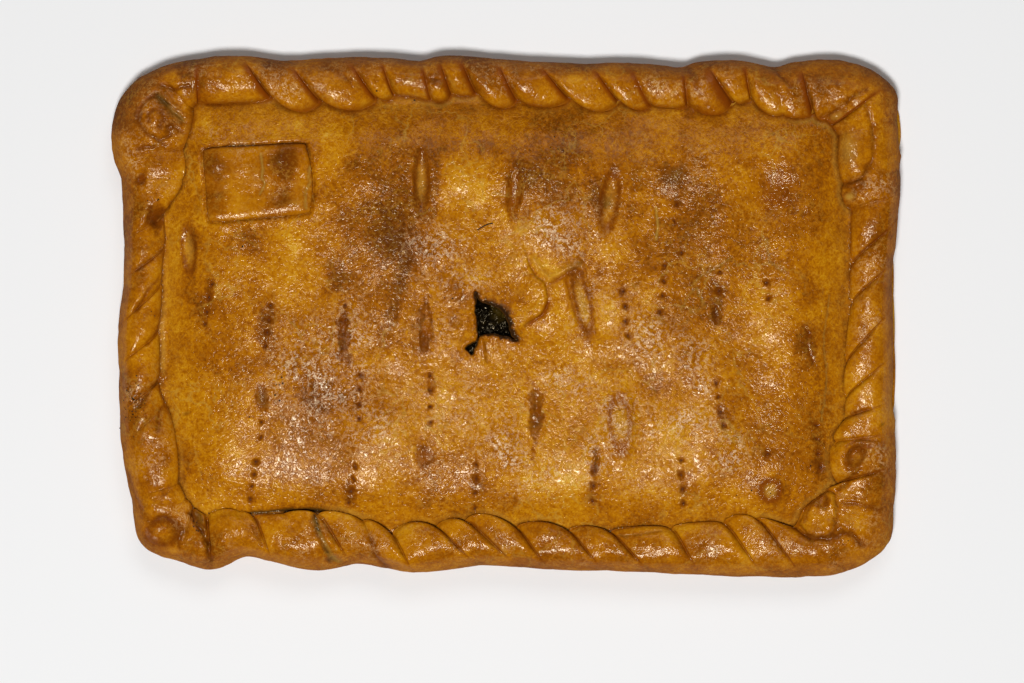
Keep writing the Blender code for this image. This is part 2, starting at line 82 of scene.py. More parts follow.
OUTER_SCALLOP = 0.015
CREST_AT = 0.5

# Long waves of the lid, the same as in the solids
WAVE_AMPLITUDE = 0.9 * MM
WAVE_LENGTHS = (17 * MM, 55 * MM)
WAVE_SEED = 31
RELIEF_FADE = 14 * MM
VENT_RIM = (-5, -3, 14, 15, 0, 1.4)
PATCH_BED = (-118.5, 64, 31, 23, 3, -1.5)
FORM_POWER = 1.4
LID_FORMS = (
    (20, 60, 24, 34, 8, 2.4), (-62, 45, 14, 62, 8, 1.6), (-100, -25, 30, 36, 0, 1.4), (16, 8, 10, 12, 0, 1.8),
    (34, 7, 4, 16, 14, 1.2), (75, -5, 22, 50, 0, 1), (128, 58, 9, 15, -8, -1.6), (50, 54, 5, 15, -4, -1.4),
    (-40, 64, 4, 15, 0, -1.4), (4, 52, 5, 14, 0, -1.2), (127, -83, 6, 6, 0, 1.2), (55, -51, 5.5, 13, 5, 1.4),
    (-151, 31, 4, 13, 0, -1),
)
ROPE_FORMS = (
    (-167, 92, 8.5, 8.5, 0, 2.2), (-167, 94, 6, 6, 0, -0.9), (-160, 107, 3, 10, 40, -1.6),
    (165, 80, 7, 17, 0, 1.6), (165, 62.5, 4.5, 3, 0, 1.8), (158, 96, 8, 5, 30, -2.6),
    (164, -67, 9, 10, 0, 1.5), (166, -66, 4, 6, -30, -4), (150.5, -88.5, 5, 5, 0, 2),
    (149, -99, 8, 6, 0, 1.8), (-163.5, -102, 7, 6, 0, -4), (-131.5, -102, 10, 8, 0, 1.8),
    (-165, 46, 4, 6, 0, -2.6),
)

# Each fold of the rope, clockwise from the upper left, in mm: the outer end and the inner end of
# the groove that starts it, how far its lip bulges over the lid, and how deep the groove is
TOP_FOLDS = (
    (-146.5, 123.5, -147, 101, 1, 1.6), (-128.5, 125, -109.5, 103, 5.5, 3.4),
    (-106.5, 122.5, -86.5, 102, 4.5, 3.4), (-78, 124, -60, 103, 1, 3.2), (-61, 124, -52.5, 104.5, -1, 3.4),
    (-41, 122.5, -35, 102, 1, 2.4), (-33, 124.5, -25, 104.5, 0.5, 2.8), (-24, 125, -12.5, 105, 4.5, 3.2),
    (-6.5, 123.5, 7, 102, 3, 3.4), (12, 122, 32.5, 103, 5.5, 3.4), (38, 121, 55.5, 102, 3, 3.2),
    (56.5, 121.5, 70, 100, 0.5, 1.4), (84, 119.5, 87, 99.5, 4.5, 2.8), (92.5, 122, 110.5, 101, 0.5, 3.2),
    (112.5, 122.5, 117.5, 102.5, 2.5, 3.2), (128.5, 119.5, 132, 95.5, 1, 0.6), (139, 122, 147.5, 95, 1, 3.4),
)
RIGHT_FOLDS = (
    (164, 122, 152, 93, 0, 0.2), (184.5, 111, 155, 91, 0.5, 1.8), (189.5, 94.5, 158.5, 86, 1.5, 0.3),
    (189, 70, 160.5, 63, 2, 0.5), (189, 59.5, 164, 50, 0, 1.6), (188, 49, 164, 22.5, 0.5, 2.6),
    (186.5, 29.5, 164.5, 5.5, 1, 2.6), (186.5, 9.5, 162, -24, 1, 2.6), (187, -14, 162, -40, 0.5, 2.4),
    (187, -39, 161.5, -49, 1, 2.2), (186.5, -55.5, 156, -60, 2.5, 2), (187, -70.5, 157.5, -80.5, 1, 2.4),
    (186, -90.5, 153, -83, 0, 0.4),
)
BOTTOM_FOLDS = (
    (183, -109.5, 142, -91.5, 0, 0.2), (164.5, -122, 136.5, -100.5, 1, 0.5), (144, -125, 118, -96, 2, 3.2),
    (125, -125, 102.5, -98, 1, 3.2), (94, -124, 78, -100.5, 1.5, 3), (71, -123, 48, -102.5, 2.5, 3.2),
    (48.5, -122, 28.5, -102, 3.5, 3.2), (22.5, -121.5, 3.5, -100.5, 4, 3.2), (9, -120.5, -21.5, -97, 1.5, 3),
    (-11.5, -119.5, -34.5, -100.5, 4.5, 3.2), (-43, -123, -55, -103.5, 2, 3.2),
    (-56.5, -121, -69, -97, 1.5, 1.4), (-71.5, -119, -91, -93.5, 1, 3.6), (-91, -122, -106, -94, 0, 0.4),
    (-109.5, -118.5, -121, -94.5, 0.5, 3), (-124.5, -115.5, -127, -93, 2, 0.3),
    (-140, -121.5, -142.5, -94.5, 0, 3.2),
)
LEFT_FOLDS = (
    (-154.5, -118.5, -149, -91, 0.5, 1.4), (-174.5, -109.5, -152.5, -87, 0.5, 0.3),
    (-179.5, -88, -156, -79.5, 2.5, 0.8), (-184, -65, -162.5, -41, -1, 1), (-185, -48.5, -165, -29.5, 0.5, 2),
    (-185.5, -26.5, -165.5, -6.5, 0.5, 2), (-186, -8.5, -164, 16.5, -0.5, 2.2),
    (-183.5, 14.5, -162.5, 33.5, 0.5, 2), (-183, 33.5, -163, 49, 1, 1.6), (-184.5, 65.5, -154, 65, 1, 0.6),
    (-188.5, 76, -153.5, 79.5, 0.5, 1), (-188, 96, -149.5, 92, 0, 0.3), (-181, 109.5, -149, 96, 0, 0.2),
    (-169, 118, -149, 99, 0, 0.6),
)
FOLDS = np.array(TOP_FOLDS + RIGHT_FOLDS + BOTTOM_FOLDS + LEFT_FOLDS, dtype=float)

# How finely the rope is made, and how its folds round over into their grooves
STATION_STEP = 0.95 * MM
CORNER_STATION_STEP = 0.52 * MM
CORNER_FOLDS = (0, *range(15, 22), *range(27, 32), *range(45, 51), *range(57, 61))
STATION_GATHER = 0.6
ROPE_ARC_RINGS = 54
ARC_SWEEP = 0.6
SHOULDER = 5.0 * MM
SHOULDER_POWER = 2.6
UNDER_DROP = 0.45
SLIP = 0.5 * MM
GROOVE_START = 0.14
GROOVE_FADE_OUT = 0.40
NOTCH = 1.6 * MM
NOTCH_WIDTH = 1.5 * MM

# Sections of the rope's outer foot and of the bottom sheet's edge: steps inward and heights in mm
ROPE_FOOT = ((1.6, 4.4), (0.7, 4.9), (0.15, 6.2))
SHEET_PROFILE = ((1.7, 0), (0.8, 0.12), (0.25, 0.6), (0, 1.5), (0.05, 2.4), (0.4, 3), (1.2, 3.4))

# The torn vent's edge in picture points: the large tear, with the small one reached through a crack
VENT_TEAR = (
    (475.5, 293), (480.5, 300.5), (487, 303.5), (493, 305.5), (499, 308.5), (503.5, 312.5), (506.5, 318),
    (509, 324), (509.5, 329.5), (511.5, 334), (516, 339.5), (513, 339.5), (508, 337), (502, 336),
    (495, 334.5), (487, 335), (481, 336.5), (478.6, 340), (477.6, 344), (475.5, 349), (472, 355),
    (469, 352.5), (465.5, 348.5), (467, 345.5), (472, 343), (476, 340), (477.6, 336), (477, 330), (477, 321),
    (475, 311), (476.5, 303),
)
VENT_MIDDLE = (-5 * MM, -4 * MM)

# The torn wall below the vent's edge: steps into the hole and down in mm, and how dark each is, burnt colour
# with painted shade deepening into the hole
TORN_WALL = ((0.22, 0.5, 0.7), (0.38, 1.1, 0.85), (0.4, 1.9, 0.95), (0.2, 2.8, 1))

# The lattices that the lid's points are chosen from: how far they reach from the middle, their
# widest step, what it is divided by from one busyness to the next, and the step of their rows in
# shares of the step along a row
LID_GRID_HALF = (170 * MM, 109 * MM)
LID_GRID_STEP = 1.2 * MM
LID_GRID_SPLITS = ((1, -1, 0.3), (2, 0.3, 1.05), (4, 1.05, 9))
ROW_STEP = 0.8660254

# Rows of fork pricks in picture points: first and last prick of each row, how many, and their size
PRICK_ROWS = (
    (214, 284, 207, 325, 4, 1), (272, 306, 267, 346, 4, 1.2), (347, 306, 344, 349, 4, 1.1),
    (362, 375, 360, 418, 4, 1), (431, 375, 431, 422, 4, 1), (263, 422, 263, 437, 2, 1.1),
    (258, 461, 251, 498, 4, 1.1), (357, 466, 349, 502, 4, 1.1), (477, 464, 475, 507, 4, 1),
    (594, 470, 592, 500, 3, 1.1), (680, 460, 683, 502, 4, 1), (715, 382, 722, 425, 4, 1.1),
    (718, 272, 717, 291, 2, 1.1), (675, 206, 674, 221, 2, 0.8), (680, 253, 680, 253, 1, 0.8),
    (664, 266, 660, 312, 4, 1.1), (622, 292, 627, 336, 4, 1.2), (766, 283, 767, 298, 2, 1.1),
    (766, 453, 766, 453, 1, 1.1), (815, 425, 817, 453, 3, 0.8), (820, 467, 820, 467, 1, 1.4),
)

# Darker, toasted places of the lid in picture points: place, half width, half height, amount
TOASTED = (
    (400, 205, 30, 62, 0.32), (432, 185, 9, 34, 0.3), (395, 235, 12, 24, 0.38), (402, 265, 9, 25, 0.35),
    (370, 230, 34, 30, 0.2), (340, 275, 15, 12, 0.3), (395, 310, 8, 16, 0.2), (365, 168, 16, 14, 0.22),
    (247, 245, 20, 16, 0.25), (190, 236, 8, 14, 0.22), (212, 283, 7, 7, 0.25), (200, 310, 10, 18, 0.12),
    (268, 330, 7, 30, 0.25), (245, 365, 16, 13, 0.18), (315, 395, 13, 15, 0.3), (340, 395, 12, 12, 0.18),
    (325, 320, 22, 12, 0.14), (545, 165, 46, 42, 0.35), (520, 190, 11, 28, 0.35), (485, 152, 13, 8, 0.28),
    (600, 205, 7, 24, 0.3), (690, 115, 11, 7, 0.25), (670, 176, 13, 12, 0.28), (695, 163, 10, 6, 0.18),
    (695, 225, 40, 40, 0.12), (700, 295, 30, 35, 0.14), (712, 315, 7, 10, 0.5), (716, 270, 7, 9, 0.22),
    (775, 192, 16, 22, 0.2), (800, 342, 12, 20, 0.25), (592, 333, 9, 9, 0.2), (460, 310, 16, 16, 0.14),
    (425, 340, 7, 15, 0.2), (425, 455, 12, 9, 0.4), (430, 500, 16, 9, 0.14), (350, 490, 12, 11, 0.2),
    (255, 485, 12, 20, 0.15), (765, 487, 15, 12, 0.26), (740, 478, 16, 10, 0.16), (818, 465, 9, 8, 0.3),
    (820, 440, 8, 16, 0.14), (595, 488, 9, 12, 0.22), (480, 488, 9, 18, 0.14), (683, 485, 9, 16, 0.16),
    (660, 385, 16, 10, 0.14), (720, 418, 10, 16, 0.18), (380, 115, 30, 10, 0.1), (560, 120, 40, 12, 0.12),
    (640, 135, 30, 14, 0.06), (810, 118, 18, 12, 0.16), (700, 200, 90, 60, 0.05),
)

# The most that toasted places add up to, how high a glazed place swells for its width, and the
# widest that counts
TOAST_LIMIT = 0.44
MOUND = 0.09
WIDEST_MOUND = 26

# Golden, less baked places of the lid, in the same terms, with a turn in degrees in one of them
GOLDEN = (
    (240, 120, 60, 14, 0.12), (335, 160, 14, 22, 0.2), (330, 140, 14, 24, 0.1), (470, 190, 24, 26, 0.16),
    (290, 250, 16, 50, 0.16), (175, 290, 10, 70, 0.14), (185, 400, 14, 50, 0.14), (220, 420, 26, 40, 0.14),
    (250, 450, 20, 26, 0.12), (520, 235, 26, 30, 0.18), (610, 265, 12, 60, 0.2), (650, 205, 36, 9, -12, 0.22),
    (620, 240, 16, 20, 0.12), (560, 340, 50, 34, 0.14), (540, 290, 14, 20, 0.12), (500, 400, 90, 36, 0.14),
    (560, 480, 90, 26, 0.14), (640, 490, 40, 16, 0.12), (420, 430, 30, 20, 0.12), (680, 430, 40, 26, 0.12),
    (380, 460, 20, 30, 0.1), (770, 320, 26, 40, 0.1), (760, 250, 20, 20, 0.08), (210, 505, 40, 9, 0.14),
    (828, 260, 8, 90, 0.12), (835, 400, 8, 60, 0.1), (360, 350, 14, 30, 0.1), (790, 440, 20, 40, 0.06),
    (545, 268, 22, 12, 0.22), (470, 275, 20, 14, 0.2),
)

# Shinier places where the egg wash lies thick, in the same terms; there the colour also gets whiter painted
# glints
GLAZED = (
    (320, 370, 50, 46, 1), (370, 425, 28, 26, 1), (352, 335, 22, 34, 0.8), (435, 250, 26, 22, 1),
    (460, 280, 30, 16, 1), (560, 232, 38, 28, 1), (505, 450, 26, 26, 1), (535, 472, 40, 20, 0.6),
    (592, 455, 16, 26, 1), (650, 340, 28, 26, 0.9), (685, 352, 24, 20, 0.9), (700, 382, 14, 16, 1),
    (680, 425, 40, 28, 0.8), (720, 450, 22, 18, 1), (615, 420, 22, 36, 0.9), (570, 385, 34, 16, 0.7),
    (430, 470, 26, 20, 0.4), (470, 410, 60, 40, 0.5), (395, 450, 18, 30, 0.3), (640, 480, 50, 18, 0.3),
    (300, 440, 40, 20, 0.1), (270, 200, 30, 16, 0.4), (230, 135, 50, 10, 0.3), (585, 305, 14, 34, 0.9),
    (440, 330, 16, 20, 0.6), (620, 310, 20, 30, 0.5), (700, 160, 24, 20, 0.3),
)

# Hollows and blisters of the lid in picture points: place, half width, half height, turn, how deep
# in mm (below nothing is a rise), how high its rim stands in mm, then how pale, glassy and burnt.
# A glassy amount below nothing is for the rim alone, and one over BROKEN_BLISTER breaks it open
BROKEN_BLISTER = 0.6
HOLLOWS = (
    (422, 182, 6.5, 25, 0, 1.3, 0.5, 0.35, -0.5, 0), (514, 195, 6.5, 21, -5, 0.9, 0.45, 0, 0.55, 0),
    (609, 202, 8, 26, -8, 1.1, 0.5, 0.2, -0.6, 0), (674, 177, 10, 12, -10, -0.5, 0.1, 0.1, 0.1, 0),
    (776, 194, 13, 24, -22, 0.05, 0, 0, 0.5, 0), (783, 193, 3, 4, 0, 0.7, 0.3, 0, 0.6, 0),
    (190, 250, 6.5, 20, 4, 1, 0.4, 0.3, -0.5, 0), (619, 422, 9, 24, 3, 0.7, 0.7, 0.3, -0.6, 0),
    (536, 415, 5.2, 24, -3, 1, 0.3, 0, 0.9, 0.2), (345, 337, 5.2, 19, 2, 0.9, 0.3, 0, 0.85, 0.2),
    (769, 490, 9, 9.5, 0, 0.9, 0.35, 0.45, -0.85, 0), (426, 325, 5, 23, -4, 1, 0.4, 0, 0.65, 0),
    (582, 302, 6.5, 28, 12, 1, 0.5, 0.4, -0.5, 0), (264, 398, 5, 11, 8, 0.9, 0.15, 0, 0.5, 0.45),
    (715, 315, 4, 8, 10, 0.9, 0.2, 0, 0.4, 0.4), (457, 323, 5, 5, 30, 0.5, 0.2, 0, 0.35, 0.15),
    (456, 297, 6, 3, 20, 0.3, 0.15, 0, 0.2, 0), (454, 337, 3, 2, 0, 0.3, 0.1, 0, 0.4, 0),
    (432, 385, 3.5, 8, 0, 0.6, 0.2, 0, 0.6, 0), (595, 463, 4.5, 14, -9, 0.6, 0.3, 0, 0.75, 0),
    (425, 456, 8, 7, 0, 0.35, 0.15, 0, 0.45, 0), (200, 211, 4, 4, 0, -0.5, 0, 0.1, 0.3, 0),
    (187, 462, 3, 6, 10, 0.6, 0.1, 0, 0.4, 0.1), (184, 476, 2.5, 5, 10, 0.5, 0.1, 0, 0.4, 0),
    (187, 413, 4, 2, 20, 0.4, 0.1, 0, 0.3, 0.3), (692, 114, 9, 4, 0, 0.3, 0.1, 0, 0.4, 0),
    (793, 213, 3, 2, 30, 0.4, 0, 0, 0.3, 0.3), (801, 215, 3, 2, 30, 0.4, 0, 0, 0.3, 0.3),
)

# Creases of the lid and of the rope: half width and depth in mm, how pale, glassy and burnt they
# are, the burnt amount also painting shade in deep gaps such as the lid's lower seam, and the picture
# points that they pass through
LID_CREASES = (
    (1.5, -1, 0.2, 0, 0, (533, 260), (541, 270), (549, 279), (558, 274), (566, 269), (578, 265)),
    (0.9, 0.2, 0, 0.95, 0, (530, 323.5), (538, 318), (544, 312), (547.5, 303)),
    (0.7, 0.5, 0, 0.6, 0, (549, 284), (557, 280), (566, 275), (573, 271)),
    (0.8, -0.7, 0, 0.7, 0, (566, 282), (570, 296), (574, 312), (581, 328)),
    (0.6, -0.5, 0, 0.4, 0, (584, 268), (587, 282), (589, 300), (593, 318), (594, 332)),
    (0.6, 0.6, 0, 0.6, 0, (802, 326), (808, 334), (806, 344), (809, 354), (812, 362)),
    (0.5, 0.5, 0.1, 0.2, 0, (486.5, 342), (487.5, 350), (488, 362)),
    (1.4, -0.9, 0, 0.25, 0, (482.5, 341), (483.5, 350), (484.5, 362)),
    (0.5, 0.35, 0.6, 0, 0, (655, 208), (657, 222), (655, 240)),
    (0.35, 0.2, 0.3, 0, 0, (690, 286), (700, 276), (714, 268), (730, 258)),
    (0.35, 0.2, 0.3, 0, 0, (700, 300), (696, 288), (688, 296), (680, 308)),
    (0.35, 0.2, 0.3, 0, 0, (765, 240), (768, 262), (780, 272)),
    (0.35, 0.2, 0.3, 0, 0, (828, 296), (822, 340), (826, 380), (820, 420)),
    (0.8, 1.4, 0.2, 0, 0.9, (252, 512), (268, 511), (282, 510), (300, 509.5), (318, 510), (338, 513)),
    (1.2, 1.8, 0, 0, 1, (286, 511), (300, 510.5), (322, 511)), (0.8, 0.8, 0, 0, 0.8, (194, 508), (203, 514)),
    (0.6, 0.5, 0, 0.3, 0.3, (186, 119), (184, 128), (184, 146)),
)
# Edges where one layer lies over another: height in mm, how far the upper layer is lifted, how
# glassy the edge is, and the picture points, with the upper layer on the left
LID_STEPS = (
    (1.3, 7, 0.6, (526, 324), (541, 315), (547, 304), (547, 294), (544, 283), (537, 277), (531, 270),
     (528, 261)),
)
ROPE_STEPS = (
    (1.7, 6, 0.5, (835, 508), (833, 494), (824, 487), (816, 489), (806, 503), (798, 522), (806, 533),
     (820, 537), (829, 531), (835, 520), (835, 508)),
    (0.8, 4, 0.4, (868, 441), (856, 440), (846, 446), (842, 456), (845, 467), (853, 472)),
    (0.8, 4, 0.4, (845, 193), (852, 193), (861, 189), (863, 182)),
)
ROPE_CREASES = (
    (0.6, 1.5, 0, 0.5, 0.15, (170, 128), (172, 136), (164, 140), (154, 138), (145, 131), (140, 121),
     (141, 110), (147, 101), (158, 95)),
    (0.5, 1.1, 0, 0.5, 0.1, (151, 123), (150, 115), (155, 110), (163, 112), (166, 120), (161, 128)),
    (1.2, 1.8, 0.25, 0.1, 0.3, (160, 97), (167, 104), (175, 113), (184, 120)),
    (0.5, 0.8, 0, 0.2, 0.8, (158, 95), (166, 102), (171, 106)),
    (0.6, 1, 0, 0.6, 0.15, (162, 86), (170, 88), (175, 91), (183, 88), (191, 87)),
    (0.6, 0.7, 0, 0.5, 0.1, (138, 150), (147, 148), (156, 147)),
    (0.5, 0.6, 0, 0.4, 0, (154, 136), (160, 142), (168, 146)),
    (0.5, 0.5, 0, 0.3, 0, (173, 127), (180, 131), (187, 133)),
    (0.6, 0.5, 0, 0.3, 0, (323, 64), (336, 72), (349, 81)), (0.5, 0.6, 0, 0.4, 0, (688, 68), (697, 85)),
    (0.5, 0.6, 0, 0.4, 0, (690, 80), (700, 97)), (0.6, 0.8, 0, 0.4, 0, (775, 72), (783, 80), (791, 88)),
    (0.7, 0.9, 0, 0.3, 0.1, (865, 90), (850, 99), (840, 108), (828, 114), (820, 118)),
    (0.7, 1.2, 0, 0.2, 0.2, (864, 106), (869, 122), (873, 140), (872, 150), (869, 163), (861, 178),
     (846, 184)),
    (0.6, 0.9, 0, 0.5, 0.2, (842, 186), (850, 190), (860, 184)),
    (0.9, 1, 0, 0.7, 0, (848, 463), (852, 452), (861, 446), (868, 446)),
    (0.7, 1, 0, 0.4, 0.1, (858, 470), (848, 478), (837, 490)),
    (0.7, 0.9, 0, 0.4, 0, (840, 501), (858, 504), (878, 509)),
    (0.6, 1, 0, 0.4, 0.1, (816, 505), (816, 497), (822, 493), (826, 499), (823, 508)),
    (0.9, 1.6, 0, 0.5, 0.3, (792, 526), (802, 534), (812, 538), (827, 538), (843, 532), (853, 535),
     (863, 546)),
    (0.6, 0.9, 0, 0.3, 0.1, (803, 520), (806, 508), (813, 499)),
    (0.6, 0.8, 0, 0.4, 0, (832, 516), (836, 526), (830, 533)),
    (0.8, 0.9, 0, 0.4, 0.1, (372, 537), (375, 553), (388, 568)),
    (0.8, 1.6, 0.5, 0.1, 0.2, (316, 520), (320, 532), (327, 545), (332, 556), (341, 562)),
    (0.8, 1.6, 0, 0, 1, (315, 515), (317, 522), (319, 533)),
    (0.5, 0.8, 0, 0.1, 0.7, (321, 536), (325, 545), (329, 553)),
    (0.6, 0.9, 0, 0.4, 0.1, (254, 524), (264, 545)),
    (0.8, 1.3, 0, 0.3, 0.3, (203, 528), (209, 543), (212, 560)),
    (0.7, 1, 0, 0.3, 0.4, (190, 512), (198, 522), (203, 532)),
    (0.6, 0.6, 0, 0.3, 0.1, (185, 530), (180, 545)),
    (0.6, 0.7, 0, 0.4, 0, (155, 259), (147, 265), (139, 270)),
    (0.6, 0.7, 0, 0.4, 0.1, (160, 279), (149, 292), (138, 310)),
    (0.6, 0.7, 0, 0.4, 0, (160, 328), (149, 344)),
    (0.7, 0.9, 0, 0.3, 0.2, (159, 382), (146, 399), (138, 407)),
    (0.6, 0.7, 0, 0.4, 0, (163, 407), (159, 429)), (0.7, 0.6, 0, 0.3, 0, (127, 471), (136, 497), (149, 519)),
    (0.5, 0.8, 0.2, 0.2, 0, (619, 535), (640, 533), (661, 530)),
    (0.5, 0.6, 0, 0.5, 0, (867, 408), (851, 413)),
)

# Small hollows and nubs of the rope, in the terms of HOLLOWS
ROPE_HOLLOWS = (
    (267, 65, 3, 3, 0, 0.8, 0.2, 0, 0.4, 0.2), (143, 180, 3.5, 4, 0, 0.9, 0.3, 0, 0.9, 0.1),
    (158, 219, 6, 9, -20, 1.6, 0.2, 0, 0.9, 0.2), (156, 120, 14, 16, 0, -1, 0, 0, 0, 0),
    (157, 120, 4.5, 5.5, 0, -0.7, 0, 0, 0.1, 0), (852, 185, 10, 6, -10, -1.4, 0, 0, 0.6, 0),
    (848, 197, 5, 5, 0, 0.8, 0, 0.9, 0.3, 0), (848, 211, 3, 5, 20, 1.2, 0, 0, 0.2, 0.6),
    (846, 150, 12, 22, 0, -0.6, 0, 0.32, 0, 0), (836, 117, 8, 5, 25, 1.2, 0.2, 0.6, 0.5, 0),
    (853, 457, 7, 11, -25, 0.9, 0.3, 0.1, -0.5, 0), (832, 526, 5, 5, 0, -0.6, 0, 0, 0.3, 0),
    (821, 501, 3, 6, 0, 0.9, 0.2, 0, 0.5, 0.1), (165, 531, 15, 12, 20, 0.8, 0.3, 0, -0.5, 0),
    (158, 540, 8, 3, -20, 0.5, 0.1, 0, 0.6, 0.1), (200, 517, 6, 11, 28, 1.1, 0.1, 0, 0.4, 0.6),
    (331, 559, 3, 3, 0, 0.6, 0, 0, 0.1, 0.7), (187, 68, 5, 9, -10, 0.5, 0.1, 0, 0.3, 0),
    (436, 81, 7, 6, 0, 0.6, 0.2, 0, 0.8, 0), (881, 424, 2, 2, 0, 0.3, 0, 0, 0, 0.6),
    (690, 110, 8, 4, 0, 0.6, 0.1, 0, 0.6, 0),
)

# Places with soot flecks in picture points: place, half width, half height, how thickly they lie
SOOTY = (
    (133, 402, 12, 26, 1), (165, 178, 8, 6, 0.5), (156, 200, 7, 7, 0.5), (200, 522, 9, 10, 1),
    (183, 561, 3, 2, 0.5), (152, 317, 5, 5, 0.5), (280, 385, 24, 26, 0.22), (445, 298, 14, 5, 0.5),
    (849, 543, 9, 9, 0.4), (300, 90, 10, 6, 0.2), (560, 150, 40, 30, 0.05), (380, 95, 20, 6, 0.2),
    (240, 245, 14, 10, 0.2), (680, 192, 8, 4, 0.5), (420, 208, 8, 6, 0.4), (760, 500, 60, 40, 0.03),
)

# The pressed dough rectangle: its corners in picture points, how round they are, the groove round
# it, where the painted shade along its upper side starts, and its section as steps inward and heights in mm
PATCH_CORNERS = ((204, 149.5), (308, 144), (313, 214), (210, 223.5))
PATCH_CORNER = 3.4 * MM
PATCH_GROOVE = 1.1 * MM
PATCH_SHADE_FROM = (MIDDLE_POINT[1] - 160) * POINT
PATCH_PROFILE = (
    (1.2, 0.35), (0.5, 0.4), (0.1, 0.65), (0.15, 1), (0.5, 1.4), (1.1, 1.75), (1.9, 2.08), (2.8, 2.3),
    (3.8, 2.42),
)
PATCH_TOASTED = (
    (288, 163, 14, 19, 0.6), (213, 165, 14, 15, 0.36), (218, 200, 12, 11, 0.32),
    (281, 200, 13, 10, 0.3),
)
PATCH_HOLLOWS = (
    (289, 165, 7, 12, -8, 0.25, 0.05, 0, 0.3, 0), (217, 166, 6, 6, 0, -0.5, 0, 0, 0.1, 0),
    (297, 204, 10, 5, 0, -0.4, 0.05, 0.2, 0, 0),
)
PATCH_CREASES = (
    (0.45, 0.4, 0.5, 0, 0.1, (263, 155), (265, 170), (263, 179), (266, 184), (262, 195)),
    (0.5, 0.5, 0.5, 0, 0.1, (311, 168), (311, 184), (307, 193), (308, 209)),
)

# The filling: its cells, its lumps under the vent, and where its brown piece lies, which also stands in for a
# painted sheen on the wet ink
FILLING_CELLS = (150, 120)
LUMP_AMPLITUDE = 1.6 * MM
LUMP_LENGTH = 5.5 * MM
LUMP_SINK = 0.9
LUMP_REACH = 19 * MM
LUMP_SEED = 32
LUMP_COUNT = 71
BROWN_PIECE_AND_SHEEN = (-3.4 * MM, 2.2 * MM, 19 * MM)

# Colours as linear red, green and blue
BAKE_COLOURS = (
    (0, (0.68, 0.4, 0.05)), (0.2, (0.57, 0.25, 0.006)), (0.42, (0.43, 0.148, 0.001)),
    (0.6, (0.3, 0.085, 0.001)), (0.78, (0.19, 0.05, 0.001)), (1, (0.11, 0.027, 0.001)),
)
PALE_DOUGH = (0.50, 0.30, 0.045)
DRY_STREAK = (0.58, 0.29, 0.030)
# Dried wash streaks whiten to this on glazed places: painted glints
DRIED_WASH_AND_GLINT = (0.90, 0.66, 0.42)
CARAMEL = (0.20, 0.040, 0.0015)
# Burnt crust, also used as painted shade in seams, slits and deep gaps
BURNT_AND_SHADE = (0.020, 0.010, 0.004)
INK = (0.004, 0.0025, 0.001)
INK_BROWN_AND_SHEEN = (0.048, 0.028, 0.003)
FLOOR_COLOUR = (0.86, 0.86, 0.86)

# What a surface is marked with, and the height that the camera is measured from. The toast and burnt marks
# also carry painted shade in creases, seams, slits and gaps
MARKS = ("toast", "pale", "caramel", "burnt_and_shade", "glaze", "soot", "matte")
CAMERA_AIM_HEIGHT = 15 * MM


def unit(value):
    """A value held between 0 and 1."""
    return np.clip(value, 0, 1)


def bell(value, power=2):
    """1 where a value is 0, falling smoothly to next to nothing at 2."""
    return np.exp(-(value**power))


def ease(share):
    """A share from 0 to 1, slow at both ends."""
    return share * share * (3 - 2 * share)


def flat(x, y):
    """Points at height 0 over plan places."""
    return np.column_stack((x, y, 0 * x))


def after(row, steps=1):
    """A closed row of values, each with the one that follows it in its place."""
    return np.roll(row, -steps, axis=0)


def lengths(steps):
    """How long plan steps are."""
    return np.hypot(*steps.T)


def directions(steps):
    """Plan steps brought to a length of 1."""
    return steps / lengths(steps)[:, None]


def waves(x, y, wavelengths, seed):
    """Smooth noise from -1 to 1, with its own wavelength along x and along y."""
    grid = np.random.default_rng(seed).uniform(-1, 1, (64, 64))
    u = np.asarray(x) / wavelengths[0] + 1000.0
    v = np.asarray(y) / wavelengths[1] + 1000.0
    column, row = np.floor(u).astype(int), np.floor(v).astype(int)
    s, t = ease(u - column), ease(v - row)

    def across(row):
        return grid[column % 64, row % 64] * (1 - s) + grid[(column + 1) % 64, row % 64] * s

    return across(row) * (1 - t) + across(row + 1) * t


def cloud(points, length, seed):
    """Smooth noise in space from -1 to 1, for an array of points."""
    grid = np.random.default_rng(seed).uniform(-1, 1, (32, 32, 32))
    place = np.asarray(points) / length + 500.0
    cell = np.floor(place).astype(int)
    share = ease(place - cell)
    total = np.zeros(len(place))
    for corner in np.ndindex(2, 2, 2):
        weight = np.prod(np.where(corner, share, 1 - share), axis=1)
        total += weight * grid[tuple(((cell + corner) % 32).T)]
    return total


def clouds(points, *rows):
    """Noise of several sizes added up, each with its amount, its length in mm and its seed."""
    return sum(amount * cloud(points, length * MM, seed) for amount, length, seed in rows)


def turned(x, y, degrees):
    """Plan steps seen along turned axes."""
    angle = np.radians(degrees)
    return x * np.cos(angle) + y * np.sin(angle), y * np.cos(angle) - x * np.sin(angle)


def forms(x, y, rows):
    """The summed height of smooth oval rises and hollows, listed in mm and degrees."""
    height = np.zeros_like(x)
    for place_x, place_y, half_width, half_length, turn, rise in rows:
        across, along = turned(x / MM - place_x, y / MM - place_y, turn)
        far = (across / half_width) ** 2 + (along / half_length) ** 2
        height = height + rise * MM * bell(far, FORM_POWER)
    return height


def reaches(x, y):
    """How far inside the lid sheet's ends and inside its long sides a plan point lies."""
    return LID_LENGTH / 2 - np.abs(x - LID_MIDDLE[0]), LID_WIDTH / 2 - np.abs(y - LID_MIDDLE[1])


